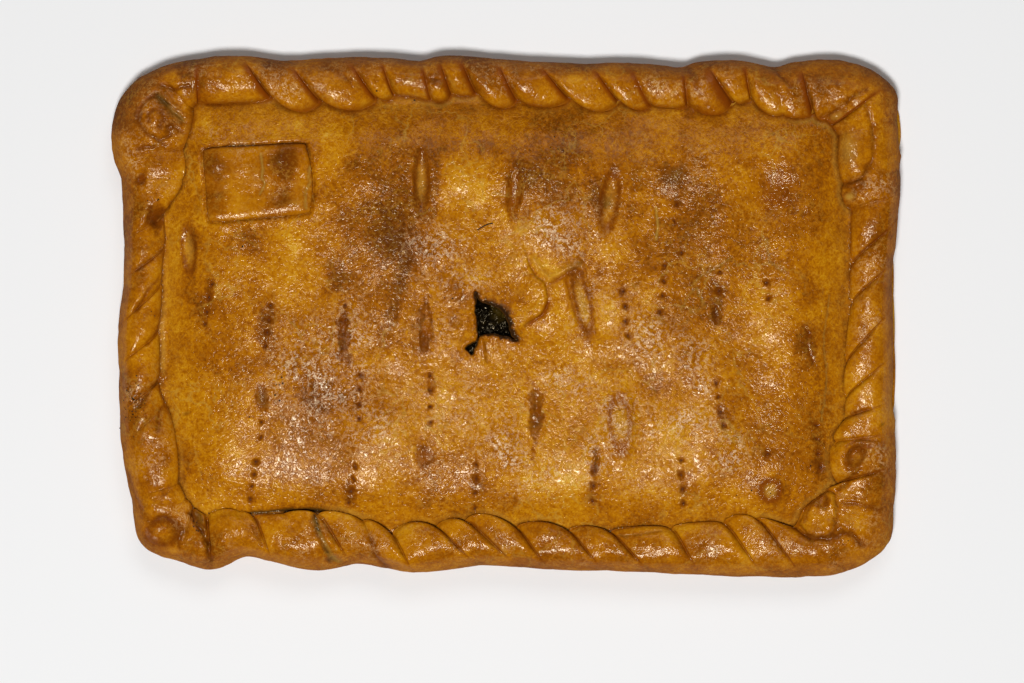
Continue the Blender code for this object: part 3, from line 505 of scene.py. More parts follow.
def edge_distance(x, y):
    """How far inside the lid sheet's rounded outline a plan point lies."""
    reach_x, reach_y = reaches(x, y)
    corner_x = np.clip(LID_CORNER - reach_x, 0, None)
    corner_y = np.clip(LID_CORNER - reach_y, 0, None)
    rounded = LID_CORNER - np.hypot(corner_x, corner_y)
    return np.where((corner_x > 0) & (corner_y > 0), rounded, np.minimum(reach_x, reach_y))


def dome(x, y):
    """The lid's smooth rise from its hidden edge to the crown."""
    rise = 1.0
    for reach in reaches(x, y):
        rise = rise * (1 - (1 - unit((reach - LID_EDGE_FLAT) / LID_EDGE_REACH)) ** LID_EDGE_POWER)
    return DOME_RISE * rise


def lid_top(x, y):
    """The lid's upper surface with its long waves and the patch's bed."""
    relief = WAVE_AMPLITUDE * waves(x, y, WAVE_LENGTHS, WAVE_SEED) + forms(x, y, LID_FORMS + (VENT_RIM,))
    beside_patch = 1 - forms(x, y, ((*PATCH_BED[:5], 1),)) / MM
    relief = relief * beside_patch + forms(x, y, (PATCH_BED,))
    return SEAM_HEIGHT + dome(x, y) + unit((edge_distance(x, y) - LID_EDGE_FLAT) / RELIEF_FADE) * relief


def lid_under(x, y):
    """The lid's smooth lower surface."""
    return SEAM_HEIGHT - LID_THICK + dome(x, y)


def carried_out(shares_x, shares_y):
    """The plan places that lie some shares of the lid's length and width out from its middle."""
    return LID_MIDDLE[0] + shares_x * LID_LENGTH, LID_MIDDLE[1] + shares_y * LID_WIDTH


def on_border(x, y, inset=0):
    """Plan points carried out from the lid's middle onto its rounded border, moved in by inset."""
    half = np.array((LID_LENGTH, LID_WIDTH)) / 2 - inset
    corner = LID_CORNER - inset
    out = np.stack((x, y), axis=-1) - LID_MIDDLE
    edge = out / np.maximum((np.abs(out) / half).max(axis=-1, keepdims=True), 1e-9)
    core = np.clip(edge, corner - half, half - corner)
    reach = np.hypot(*np.moveaxis(edge - core, -1, 0))
    return core + (edge - core) * (corner / np.maximum(reach, corner))[..., None] + LID_MIDDLE


def at_point(px, py):
    """The plan place, in metres, of a picture point."""
    return (px - MIDDLE_POINT[0]) * POINT, (MIDDLE_POINT[1] - py) * POINT


def oval(x, y, px, py, half_width, half_height, turn=0):
    """The distance from an oval's middle in half sizes, all in picture points and degrees."""
    place_x, place_y = at_point(px, py)
    across, along = turned((x - place_x) / POINT, (y - place_y) / POINT, turn)
    return np.hypot(across / half_width, along / half_height)


def ragged(x, y, amount, length, seed):
    """Plan points moved about by noise in mm, so that marks read there get uneven edges."""
    moves = [amount * MM * cloud(flat(x, y), length * MM, number) for number in (seed, seed + 1)]
    return x + moves[0], y + moves[1]


def path_distance(x, y, path, closed=False):
    """How far each plan point lies from a bent line, and on which side of it: 1 on its left."""
    nearest = np.full(x.shape, np.inf)
    side = np.ones(x.shape)
    for (ax, ay), (bx, by) in zip(path, after(path) if closed else path[1:]):
        dx, dy = bx - ax, by - ay
        share = unit(((x - ax) * dx + (y - ay) * dy) / max(dx**2 + dy**2, 1e-12))
        far = np.hypot(x - ax - share * dx, y - ay - share * dy)
        if not closed:
            side = np.where(far < nearest, np.sign(dx * (y - ay) - dy * (x - ax)), side)
        nearest = np.minimum(nearest, far)
    return nearest, side


class Finish:
    """The rises and marks of a surface, and how busy it is. A part of it writes into the same rows."""

    def __init__(self, x, y, whole=None, spots=slice(None)):
        self.x, self.y, self.spots = x[spots], y[spots], spots
        self.rise = whole.rise if whole else np.zeros(len(x))
        self.busy = whole.busy if whole else np.zeros(len(x))
        self.marks = whole.marks if whole else {name: np.zeros(len(x)) for name in MARKS}

    def lift(self, amount):
        self.rise[self.spots] += amount

    def mark(self, name, amount):
        self.marks[name][self.spots] = np.maximum(self.marks[name][self.spots], amount)

    def add(self, name, amount):
        self.marks[name][self.spots] += amount

    def hurry(self, amount):
        self.busy[self.spots] = np.maximum(self.busy[self.spots], amount)

    def near(self, path, reach):
        """The part within reach of the box round a path."""
        low, high = np.min(path, axis=0) - reach, np.max(path, axis=0) + reach
        inside = (self.x > low[0]) & (self.x < high[0]) & (self.y > low[1]) & (self.y < high[1])
        return Finish(self.x, self.y, self, np.flatnonzero(inside))


def plan_path(stops):
    """Picture points as plan places."""
    return np.array([at_point(*stop) for stop in stops])


def press_hollows(finish, rows):
    """Oval hollows or blisters with raised rims. A glassy amount below nothing wets the rim only."""
    for px, py, half_width, half_height, turn, depth, rim, pale, caramel, burnt_and_shade in rows:
        part = finish.near(plan_path([(px, py)]), 3 * max(half_width, half_height) * POINT)
        far = oval(part.x, part.y, px, py, half_width, half_height, turn)
        place = flat(part.x, part.y)
        broken = caramel > BROKEN_BLISTER
        if broken:
            far = far * (1 + clouds(place, (0.4, 3.2, 48), (0.15, 1.2, 49)))
        bowl = bell(far**2, 1.3)
        part.lift((rim * bell((far - 1.35) / 0.38) - depth * bowl) * MM)
        part.mark("pale", pale * bell(far / 0.72, 2.5))
        glassy = bell(far / 1.15, 4) if caramel > 0 else bell((far - 1.05) / 0.3)
        part.mark("caramel", abs(caramel) * glassy)
        part.mark("burnt_and_shade", burnt_and_shade * bell(far / 0.9, 4))
        # Painted shade round the wall of each dent
        part.add("toast", 0.22 * unit(depth / 0.8) * bell((far - 1.1) / 0.3))
        if broken:
            part.lift(0.5 * MM * cloud(place, 1.3 * MM, 46) * bowl)
            part.mark("burnt_and_shade", 0.5 * bowl * unit(3 * cloud(place, 1.7 * MM, 47)))
        part.hurry(unit(2.4 - far))


def press_creases(finish, rows):
    """Narrow creases or ridges along bent lines."""
    for width, depth, pale, caramel, burnt_and_shade, *stops in rows:
        path = plan_path(stops)
        part = finish.near(path, 6 * width * MM)
        far = path_distance(part.x, part.y, path)[0] / (width * MM)
        part.lift(-depth * MM * bell(far, 1.4))
        part.mark("pale", pale * bell(far / 1.1))
        part.mark("caramel", caramel * bell(far / 1.1))
        part.mark("burnt_and_shade", burnt_and_shade * bell(far / 0.8))
        # Painted shade along creases pressed into the surface
        part.add("toast", 0.18 * (depth > 0) * bell(far / 2.2))
        part.hurry(unit(3.2 - far))


def press_steps(finish, rows):
    """Overlapping edges: the left side of each line stands over its right side."""
    for rise, reach, caramel, *stops in rows:
        path = plan_path(stops)
        part = finish.near(path, 3 * reach * MM)
        far, side = path_distance(part.x, part.y, path)
        far = far / MM
        over = rise * (0.35 + 0.65 * (1 - bell(far / 0.7, 1.5))) * bell(far / reach)
        part.lift(np.where(side > 0, over, -0.35 * rise * bell(far / 1.1)) * MM)
        part.mark("caramel", caramel * bell(far / 0.7) * (side <= 0))
        # Painted shade on the lower side of each overlapping edge
        part.add("toast", 0.14 * bell(far / 1.2) * (side <= 0))
        part.hurry(unit(2 - far))


def prick_places():
    """Every fork prick as a picture point and a size."""
    random = np.random.default_rng(7)
    places = []
    for first_x, first_y, last_x, last_y, count, size in PRICK_ROWS:
        for share in np.linspace(0, 1, count) if count > 1 else (0.5,):
            px = first_x + (last_x - first_x) * share + random.uniform(-0.6, 0.6)
            py = first_y + (last_y - first_y) * share + random.uniform(-0.5, 0.5)
            places.append((px, py, size * random.uniform(0.85, 1.2)))
    return places


def press_pricks(finish):
    """The dents of the fork, browned all round."""
    random = np.random.default_rng(8)
    for px, py, size in prick_places():
        part = finish.near(plan_path([(px, py)]), 18 * POINT)
        wide = random.uniform(1.7, 2.4) * size
        high, turn = wide * random.uniform(1.0, 1.5), random.uniform(-35, 35)
        far = oval(*ragged(part.x, part.y, 0.5, 1.3, 45), px, py, wide, high, turn)
        part.lift(-0.9 * size * MM * bell(far))
        part.lift(0.12 * MM * bell((far - 1.7) / 0.5))
        part.add("toast", 0.2 * bell(far / 2))
        part.mark("caramel", 0.85 * bell(far / 1.2, 3))
        part.mark("burnt_and_shade", 0.45 * bell(far / 0.75))
        part.hurry(2 * unit(2.3 - far))


def spread_marks(finish, x, y):
    """The broad toasted, golden and glazed places, with uneven edges."""
    near = ragged(*ragged(x, y, 3.2, 9, 41), 1.4, 3, 43)
    for *place, amount in TOASTED:
        finish.add("toast", amount * bell(oval(*near, *place) ** 2, 1.25))
    finish.marks["toast"] = TOAST_LIMIT * np.tanh(finish.marks["toast"] / TOAST_LIMIT)
    for *place, amount in GOLDEN:
        finish.add("toast", -amount * bell(oval(*near, *place)))
    for *place, amount in GLAZED:
        far = oval(*near, *place)
        finish.mark("glaze", amount * bell(far**2, 1.2))
        finish.lift(MOUND * min(*place[2:], WIDEST_MOUND) * POINT * amount * bell(far))


def lay_soot(finish, x, y):
    """Where soot flecks lie."""
    for *place, amount in SOOTY:
        finish.mark("soot", amount * bell(oval(x, y, *place) ** 2, 1.5))


def inside_loop(x, y, loop):
    """Whether each plan point lies inside a closed loop."""
    crossings = np.zeros(len(x), dtype=int)
    for (ax, ay), (bx, by) in zip(loop, after(loop)):
        if ay != by:
            spans = (ay > y) != (by > y)
            crossings += spans & (x < (bx - ax) * (y - ay) / (by - ay) + ax)
    return crossings % 2 == 1


def web(loops, inside):
    """Triangles that join closed plan loops and the points between them: the first loop is the
    border, and the others stay open. Returns index triples into the loops' points, then the rest."""
    plan = np.concatenate([*loops, inside])
    edges = []
    first = 0
    for loop in loops:
        count = len(loop)
        edges += [(first + spot, first + (spot + 1) % count) for spot in range(count)]
        first += count
    found = delaunay_2d_cdt([Vector(spot) for spot in plan / MM], edges, [], 0, 1e-7)
    source = np.array([spots[0] for spots in found[3]])
    triples = source[np.array(found[2])]
    middle = plan[triples].mean(axis=1).T
    keep = inside_loop(*middle, loops[0])
    for loop in loops[1:]:
        keep &= ~inside_loop(*middle, loop)
    return triples[keep]


def lattice(step, half_x, half_y):
    """Plan points of a triangular lattice round the origin."""
    rows = int(half_y / (step * ROW_STEP)) + 1
    columns = int(half_x / step) + 1
    row, column = np.meshgrid(np.arange(-rows, rows + 1), np.arange(-columns, columns + 1), indexing="ij")
    return np.stack((((column + (row % 2) * 0.5) * step).ravel(), (row * step * ROW_STEP).ravel()), axis=1)


def ring_faces(rings):
    """Quads between successive closed rings of point numbers."""
    rings = np.asarray(rings)
    low, high = rings[:-1], rings[1:]
    return np.stack((low, np.roll(low, -1, axis=1), np.roll(high, -1, axis=1), high), axis=-1).reshape(-1, 4)


def crust_piece(name, points, faces, material, marks=None):
    """A finished mesh piece at the origin, shaded smooth, with its marks as attributes."""
    mesh = bpy.data.meshes.new(name)
    points = np.asarray(points, dtype=float) + (*PLAN_SHIFT, 0.0)
    mesh.from_pydata(points.tolist(), [], [tuple(int(spot) for spot in face) for face in faces])
    for label, values in (marks or {}).items():
        attribute = mesh.attributes.new(label, "FLOAT", "POINT")
        attribute.data.foreach_set("value", np.clip(values, -1, 2).astype(np.float32))
    shape = bmesh.new()
    shape.from_mesh(mesh)
    bmesh.ops.recalc_face_normals(shape, faces=shape.faces)
    shape.to_mesh(mesh)
    shape.free()
    mesh.shade_smooth()
    mesh.materials.append(material)
    return linked(name, mesh)


def linked(name, data):
    """A new object in the scene."""
    item = bpy.data.objects.new(name, data)
    bpy.context.scene.collection.objects.link(item)
    return item


def smooth_loop(stops, step):
    """A closed curve through plan points, with even steps."""
    stops = np.asarray(stops, dtype=float)
    found = []
    for a, b, c, d in zip(after(stops, -1), stops, after(stops), after(stops, 2)):
        for t in np.linspace(0, 1, 12, endpoint=False):
            spot = 2 * b + (c - a) * t + (2 * a - 5 * b + 4 * c - d) * t**2 + (3 * b - a - 3 * c + d) * t**3
            found.append(0.5 * spot)
    found = np.array(found)
    total = np.concatenate(([0], np.cumsum(lengths(after(found) - found))))
    wanted = np.linspace(0, total[-1], int(total[-1] / step), endpoint=False)
    closed = np.concatenate((found, found[:1]))
    return np.stack([np.interp(wanted, total, part) for part in closed.T], axis=1)


def fold_stations(folds):
    """The fold number and the share of it for every station round the rope, dense at the grooves."""
    ends = [lengths(after(folds[:, side]) - folds[:, side]) for side in (slice(2, 4), slice(0, 2))]
    numbers = []
    shares = []
    for number, length in enumerate(sum(ends) / 2):
        steps = max(12, round(length / (CORNER_STATION_STEP if number in CORNER_FOLDS else STATION_STEP)))
        even = np.arange(steps) / steps
        numbers.append(np.full(steps, number))
        shares.append(even - STATION_GATHER * np.sin(2 * np.pi * even) / (2 * np.pi))
    return np.concatenate(numbers), np.concatenate(shares)


def fold_curve(ends, numbers, shares, bulge, side):
    """A closed smooth curve through the groove ends, scalloped between them."""
    count = len(ends)
    start, stop = ends[numbers], ends[(numbers + 1) % count]
    step = lengths(after(ends) - ends)
    slope = (after(ends) - after(ends, -1)) / (step + np.roll(step, 1))[:, None]
    length = step[numbers][:, None]
    t = shares[:, None]
    curve = (2 * t**3 - 3 * t**2 + 1) * start + (3 * t**2 - 2 * t**3) * stop
    curve = curve + (t**3 - 2 * t**2 + t) * length * slope[numbers]
    curve = curve + (t**3 - t**2) * length * slope[(numbers + 1) % count]
    along = (stop - start) / np.maximum(length, 1e-9)
    normal = np.stack((-along[:, 1], along[:, 0]), axis=1) * side
    return curve + normal * (bulge[numbers] * 4 * shares * (1 - shares))[:, None]


def far_side(y):
    """1 along the top of the picture, where the egg glaze ran and set and the seam's painted shade is
    lighter, and 0 elsewhere.
    """
    return unit((y - 80 * MM) / (12 * MM))


class RopePlan:
    """The plan of the rope at every station: its outer side, its lip, and its grooves."""

    def __init__(self):
        folds = FOLDS * MM
        numbers, shares = self.numbers, self.shares = fold_stations(folds)
        chords = lengths(after(folds[:, :2]) - folds[:, :2])
        outer = fold_curve(folds[:, :2], numbers, shares, OUTER_SCALLOP * chords, 1)
        inner = fold_curve(folds[:, 2:4], numbers, shares, folds[:, 4], -1)
        depths = folds[:, 5]
        self.groove = depths[numbers] * (1 - shares) + depths[(numbers + 1) % len(folds)] * shares
        self.top_side = far_side(inner[:, 1])
        peek = np.zeros(len(outer))
        for low, high in PEEK_SPANS:
            rise = unit((outer[:, 1] - low) / PEEK_FADE) * unit((high - outer[:, 1]) / PEEK_FADE)
            peek = np.maximum(peek, rise * PEEK_REACH * (outer[:, 0] > 0))
        self.peek = peek / PEEK_REACH
        self.past = shares * chords[numbers]
        self.left = (1 - shares) * chords[numbers]
        from_groove = np.minimum(shares, 1 - shares) * chords[numbers]
        notch = NOTCH * bell(from_groove / NOTCH_WIDTH, 1.5) * unit(self.groove / (3 * MM))
        self.across = directions(inner - outer)
        self.inner = inner - self.across * notch[:, None]
        self.edge = outer + self.across * peek[:, None]
        self.sheet_edge = outer + self.across * (SHEET_EDGE_IN * (1 - self.peek))[:, None]
        self.along = directions(after(outer) - after(outer, -1))
        self.slant = np.sum((self.inner - self.edge) * self.along, axis=1)


def fold_height(plan):
    """How high each station stands in its fold: a rounded shoulder where the fold lies over the one
    before it, then a long fall to where it slips under the next."""
    shoulder = 1 - (1 - unit(plan.past / SHOULDER)) ** SHOULDER_POWER
    slope = 1 - UNDER_DROP * ease(unit((plan.shares - 0.4) / 0.6))
    return shoulder * slope * (1 - np.exp(-plan.left / SLIP))


def rope_rings(plan, pillow):
    """The rope's closed rings from its tucked outer foot over the crest, down at the lip and back
    under: the plan places, heights, shares of the way across, and how far the lid holds it up."""
    seam = lid_top(*plan.inner.T) + LIP_GAP
    rings = [(plan.edge + plan.across * (inward * MM), height * MM, 0, 0) for inward, height in ROPE_FOOT]
    for turn in np.linspace(0, 1, ROPE_ARC_RINGS):
        share = (1 - np.cos(np.pi * turn)) / 2
        sweep = plan.along * (plan.slant * ARC_SWEEP * (turn - share))[:, None]
        place = plan.edge * (1 - share) + plan.inner * share + sweep
        if share < CREST_AT:
            height = ROPE_SIDE + (ROPE_CREST - ROPE_SIDE) * np.sqrt(1 - (1 - share / CREST_AT) ** 2)
        else:
            inner = (share - CREST_AT) / (1 - CREST_AT)
            height = seam + (ROPE_CREST - seam) * np.sqrt(1 - inner**2)
        height = height - plan.groove * unit((share - GROOVE_START) / GROOVE_FADE_OUT) ** 1.3 * (1 - pillow)
        floor = lid_top(*place.T) + LIP_GAP * min(1, 0.5 + 0.5 * share)
        sunk = unit((floor - height) / MM) * (share > CREST_AT)
        if share > CREST_AT:
            height = np.maximum(height, floor)
        height = height + unit((share - 0.1) / 0.1) * unit((0.97 - share) / 0.1) * forms(*place.T, ROPE_FORMS)
        rings.append((place, height, share, sunk))
    pocket = on_border(*plan.inner.T, -POCKET_GAP)
    for share in (0.06, 0.5, 1.0):
        under = plan.inner * (1 - share) + pocket * share
        rings.append((under, lid_top(*under.T) + 0.15 * MM, 1, 0))
    rings += [(pocket, BASE_THICK, 1, 0), (plan.edge + plan.across * 6 * MM, BASE_THICK, 1, 0)]
    count = len(plan.numbers)
    places, *others = zip(*rings)
    columns = [np.concatenate([np.broadcast_to(part, count) for part in column]) for column in others]
    return np.concatenate(places), *columns


def rope_rim(plan, material):
    """The twisted rim: smooth pillows on the outer side that fold over into creases at the lip."""
    pillow = fold_height(plan)
    places, heights, share, sunk = rope_rings(plan, pillow)
    points = np.column_stack((places, heights))
    count = len(plan.numbers)
    rings = len(points) // count
    first_top, top_rings = len(ROPE_FOOT), len(ROPE_FOOT) + ROPE_ARC_RINGS
    ring_number = np.repeat(np.arange(rings), count)
    groove, top_side, pillow, past, left, peek = (
        np.tile(part, rings) for part in (plan.groove, plan.top_side, pillow, plan.past, plan.left, plan.peek)
    )
    x, y = points[:, 0], points[:, 1]
    lump = clouds(points, (0.45, 9, 51), (0.22, 4, 52), (0.10, 1.9, 53)) * MM
    finish = Finish(*ragged(x, y, 0.5, 3, 54))
    press_hollows(finish, ROPE_HOLLOWS)
    press_creases(finish, ROPE_CREASES)
    press_steps(finish, ROPE_STEPS)
    lay_soot(finish, x, y)
    upper = (ring_number >= first_top) & (ring_number < top_rings)
    points[:, 2] += (finish.rise + lump) * unit((share - 0.02) / 0.1) * unit((1 - share) / 0.02) * upper
    bulge = np.abs(lump) * unit(1 - share / 0.2) * upper
    points[:, :2] += np.tile(plan.across, (rings, 1)) * bulge[:, None]

    # Egg wash pools where a fold slips under the next, most along the top of the picture
    reach = unit((share - GROOVE_START) / GROOVE_FADE_OUT)
    pool = np.maximum(bell(left / ((0.8 + 1.7 * top_side) * MM), 5), 0.8 * bell(past / (0.7 * MM)))
    pool = pool * unit(groove / ((2.6 - 1.3 * top_side) * MM)) ** 2 * unit(2.5 * reach)
    finish.mark("caramel", (0.8 + 0.3 * top_side) * pool * upper)
    # A thin line of painted shade in the slit where a fold slips under the next
    slit = bell(left / (0.45 * MM)) * unit(groove / (3 * MM)) ** 2 * unit(2.5 * reach - 0.5)
    finish.mark("burnt_and_shade", 0.5 * slit * upper)
    finish.mark("caramel", 0.7 * sunk)
    spots = np.column_stack((*ragged(x, y, 3, 8, 55), points[:, 2]))
    # Darker towards the rope's outer side, most along the top of the picture, lighter towards the lip, and
    # painted shade in the grooves between folds
    toast = 0.165 + clouds(spots, (0.18, 16, 56), (0.10, 6, 57)) + (0.02 + 0.12 * top_side) * unit(1 - share / 0.4)
    finish.add("toast", toast - 0.16 * unit((share - 0.6) / 0.4) - 0.04 * pillow)
    finish.mark("caramel", (0.5 + 0.35 * top_side) * bell((1 - share) / (0.025 + 0.045 * top_side)) * upper)
    finish.mark("matte", unit(1 - share / (0.28 + 0.14 * top_side)) ** 0.7)
    # Painted shade on the rope's foot over the peeking bottom sheet
    finish.mark("burnt_and_shade", 0.5 * (ring_number < first_top) * peek)
    finish.mark("glaze", (0.08 + 0.5 * cloud(spots, 12 * MM, 58)) * np.sin(np.pi * share))
    # Painted shade on the lip's underside at the seam
    finish.mark("burnt_and_shade", 0.5 * (ring_number == top_rings))
    finish.mark("pale", 0.5 * (ring_number > top_rings))
    numbers = np.arange(len(points)).reshape(rings, count)
    faces = ring_faces((*numbers, numbers[0]))
    return crust_piece("rope_rim", points, faces, material, finish.marks)


def profile_rings(loop_at, height_at, profile):
    """Closed rings of points along a profile of steps inward and heights, both in mm."""
    places = [loop_at(inward * MM) for inward, _ in profile]
    return [np.column_stack((place, height_at(place) + step[1] * MM)) for place, step in zip(places, profile)]


def fill_ring(points, faces, first, ring, spots, heights):
    """Close a ring of a piece with triangles over new inside points."""
    count = len(ring)
    shift = len(points) - count
    faces += [
        tuple(first + spot if spot < count else shift + spot for spot in triple)
        for triple in web((ring[:, :2],), spots)
    ]
    return np.concatenate((points, np.column_stack((spots, heights))))


def bottom_sheet(plan, material):
    """The bottom sheet, seen past the rope on the right and from below."""
    loop, across = plan.sheet_edge[::2], plan.across[::2]
    count = len(loop)
    rings = profile_rings(lambda inward: loop + across * inward, lambda place: 0 * place[:, 0], SHEET_PROFILE)
    points = np.concatenate(rings)
    faces = [tuple(face) for face in ring_faces(np.arange(len(points)).reshape(-1, count))]
    grid = lattice(2.6 * MM, 200 * MM, 140 * MM)
    for number, under in ((0, True), (len(rings) - 1, False)):
        border = rings[number][:, :2]
        spots = grid[inside_loop(*grid.T, border - border * 1.6 * MM / lengths(border)[:, None])]
        if under:
            heights = 0.5 * MM * unit(clouds(flat(*spots.T), (1, 11, 61), (0.6, 4.2, 62)))
        else:
            spots = spots[::9]
            heights = np.full(len(spots), BASE_THICK)
        points = fill_ring(points, faces, number * count, rings[number], spots, heights)
    marks = {name: np.zeros(len(points)) for name in MARKS}
    marks["toast"] = 0.12 + clouds(points, (0.2, 22, 63), (0.1, 7, 64)) - 0.2 * unit(points[:, 2] / (2 * MM))
    return crust_piece("bottom_sheet", points, faces, material, marks)


def patch_outline():
    """The pressed rectangle's rounded outline, as plan points."""
    corners = plan_path(PATCH_CORNERS)
    before = corners + directions(after(corners, -1) - corners) * PATCH_CORNER
    beyond = corners + directions(after(corners) - corners) * PATCH_CORNER
    middles = (beyond + after(before)) / 2
    middles[1] = (corners[1] + corners[2]) / 2 + (1.6 * MM, 0)
    return smooth_loop(np.stack((before, beyond, middles), axis=1).reshape(-1, 2), 0.6 * MM)


def lid_details(x, y, patch_loop, tear):
    """The lid's hollows, creases, pricks, patch groove and torn edge."""
    finish = Finish(x, y)
    press_hollows(finish, HOLLOWS)
    press_creases(finish, LID_CREASES)
    press_steps(finish, LID_STEPS)
    press_pricks(finish)
    part = finish.near(patch_loop, 6 * MM)
    far = path_distance(part.x, part.y, patch_loop[::2], True)[0]
    part.lift(-0.6 * PATCH_GROOVE * bell(far / (0.9 * MM)))
    swell = 0.4 + 0.3 * cloud(np.column_stack((part.x, part.y, far)), 9 * MM, 97)
    part.lift(swell * MM * bell((far - 2.2 * MM) / (1.8 * MM)))
    # Painted shade in the groove round the patch, strongest along its upper side
    painted_shade_side = np.clip((part.y - PATCH_SHADE_FROM) / (4 * MM), 0.35, 1)
    part.add("toast", 0.4 * painted_shade_side * bell(far / (1.2 * MM)))
    part.hurry(unit(3 - far / MM))
    part = finish.near(plan_path(VENT_TEAR), 6 * MM)
    torn = path_distance(part.x, part.y, tear, True)[0]
    place = flat(part.x, part.y)
    part.lift(0.35 * MM * bell((torn - 1.6 * MM) / (1.4 * MM)) - 0.5 * MM * bell(torn / (0.7 * MM)))
    part.lift(0.45 * MM * cloud(place, 1.3 * MM, 98) * bell(torn / (1.8 * MM)))
    bearing = np.arctan2(part.y + 1 * MM, part.x + 5 * MM)
    width = (1.35 + clouds(place, (0.5, 4, 84), (0.8, 1.2, 85))) * MM * (1 + np.sin(bearing + 1.2))
    width = np.maximum(width, 0.2 * MM)
    part.mark("burnt_and_shade", 0.95 * bell(torn / width, 4))
    part.mark("caramel", 0.7 * bell(torn / (1.5 * width)))
    part.add("toast", 0.12 * bell(torn / (2 * MM)))
    part.hurry(2 * unit(2.2 - torn / MM))
    return finish


def lid_finish(x, y, patch_loop, tear, lip):
    """All relief and marks of the lid."""
    finish = lid_details(*ragged(x, y, 0.35, 3, 71), patch_loop, tear)
    spread_marks(finish, x, y)
    lay_soot(finish, x, y)
    spots = flat(x, y)
    inside = unit((edge_distance(x, y) - 3 * MM) / (5 * MM))
    grain = clouds(spots, (0.55, 17, 72), (0.25, 7, 73))
    grain = grain + (0.05 + 0.12 * finish.marks["glaze"]) * cloud(spots, 3.1 * MM, 74)
    finish.lift(grain * MM * inside)
    finish.add("toast", 0.10 + 0.10 * cloud(spots, 30 * MM, 75) + 0.08 * cloud(spots, 11 * MM, 76) * inside)
    seam_side = bell((edge_distance(x, y) - 7 * MM) / (5 * MM))
    finish.mark("pale", 0.05 * seam_side * (1 + cloud(spots, 9 * MM, 77)))

    # Along the rope's lip: painted shade in the seam, lighter along the top of the picture, pooled wash along
    # the top of the picture, a pale strip, and painted shade on the lid beside the lip
    far = lip_distance(x, y, lip)
    top_side = far_side(y)
    seam_width = np.maximum(0.45 + clouds(spots, (0.35, 14, 86), (0.2, 3, 87)), 0.1) * MM
    # Painted shade in the gap where the rope's lip meets the lid
    seam_painted_shade = unit(0.55 + 0.7 * cloud(spots, 13 * MM, 91)) * (0.75 - 0.55 * top_side)
    finish.mark("burnt_and_shade", seam_painted_shade * bell(far / seam_width))
    pool = bell(far / ((0.5 + 0.7 * top_side + 0.3 * cloud(spots, 5 * MM, 89)) * MM))
    finish.mark("caramel", (0.35 + 0.5 * top_side) * pool)
    finish.lift(0.25 * MM * cloud(spots, 1.4 * MM, 90) * pool * top_side)
    finish.mark("pale", (0.1 + 0.3 * cloud(spots, 18 * MM, 88)) * bell((far - 1.6 * MM) / (1.1 * MM)))
    # Painted shade on the lid just beside the lip
    finish.add("toast", 0.10 * bell(far / (1.5 * MM)))
    finish.lift(-0.35 * MM * bell(far / (1.6 * MM)))
    return finish


def lip_distance(x, y, lip):
    """How far each plan point lies from the rope's lip."""
    tree = KDTree(len(lip))
    for number, spot in enumerate(lip):
        tree.insert((*spot, 0.0), number)
    tree.balance()
    far = np.full(len(x), 1.0)
    for number in np.flatnonzero(edge_distance(x, y) < 22 * MM):
        far[number] = tree.find((x[number], y[number], 0.0))[2]
    return far


def lid_lattice(patch_loop, tear):
    """Plan points inside the lid, closer together where it is pricked, blistered or torn."""
    chosen = []
    for split, low, high in LID_GRID_SPLITS:
        grid = lattice(LID_GRID_STEP / split, *LID_GRID_HALF)
        grid = grid[edge_distance(*grid.T) > 0.9 * MM]
        busy = lid_details(*grid.T, patch_loop, tear).busy
        busy = np.where(edge_distance(*grid.T) < 7 * MM, 0, busy)
        chosen.append(grid[(busy > low) & (busy <= high)])
    inside = np.concatenate(chosen)
    near = (np.abs(inside - VENT_MIDDLE) < (20 * MM, 22 * MM)).all(axis=1)
    far = np.full(len(inside), 1.0)
    far[near] = path_distance(*inside[near].T, tear, True)[0]
    return inside[(far > 0.2 * MM) & ~inside_loop(*inside.T, tear)]


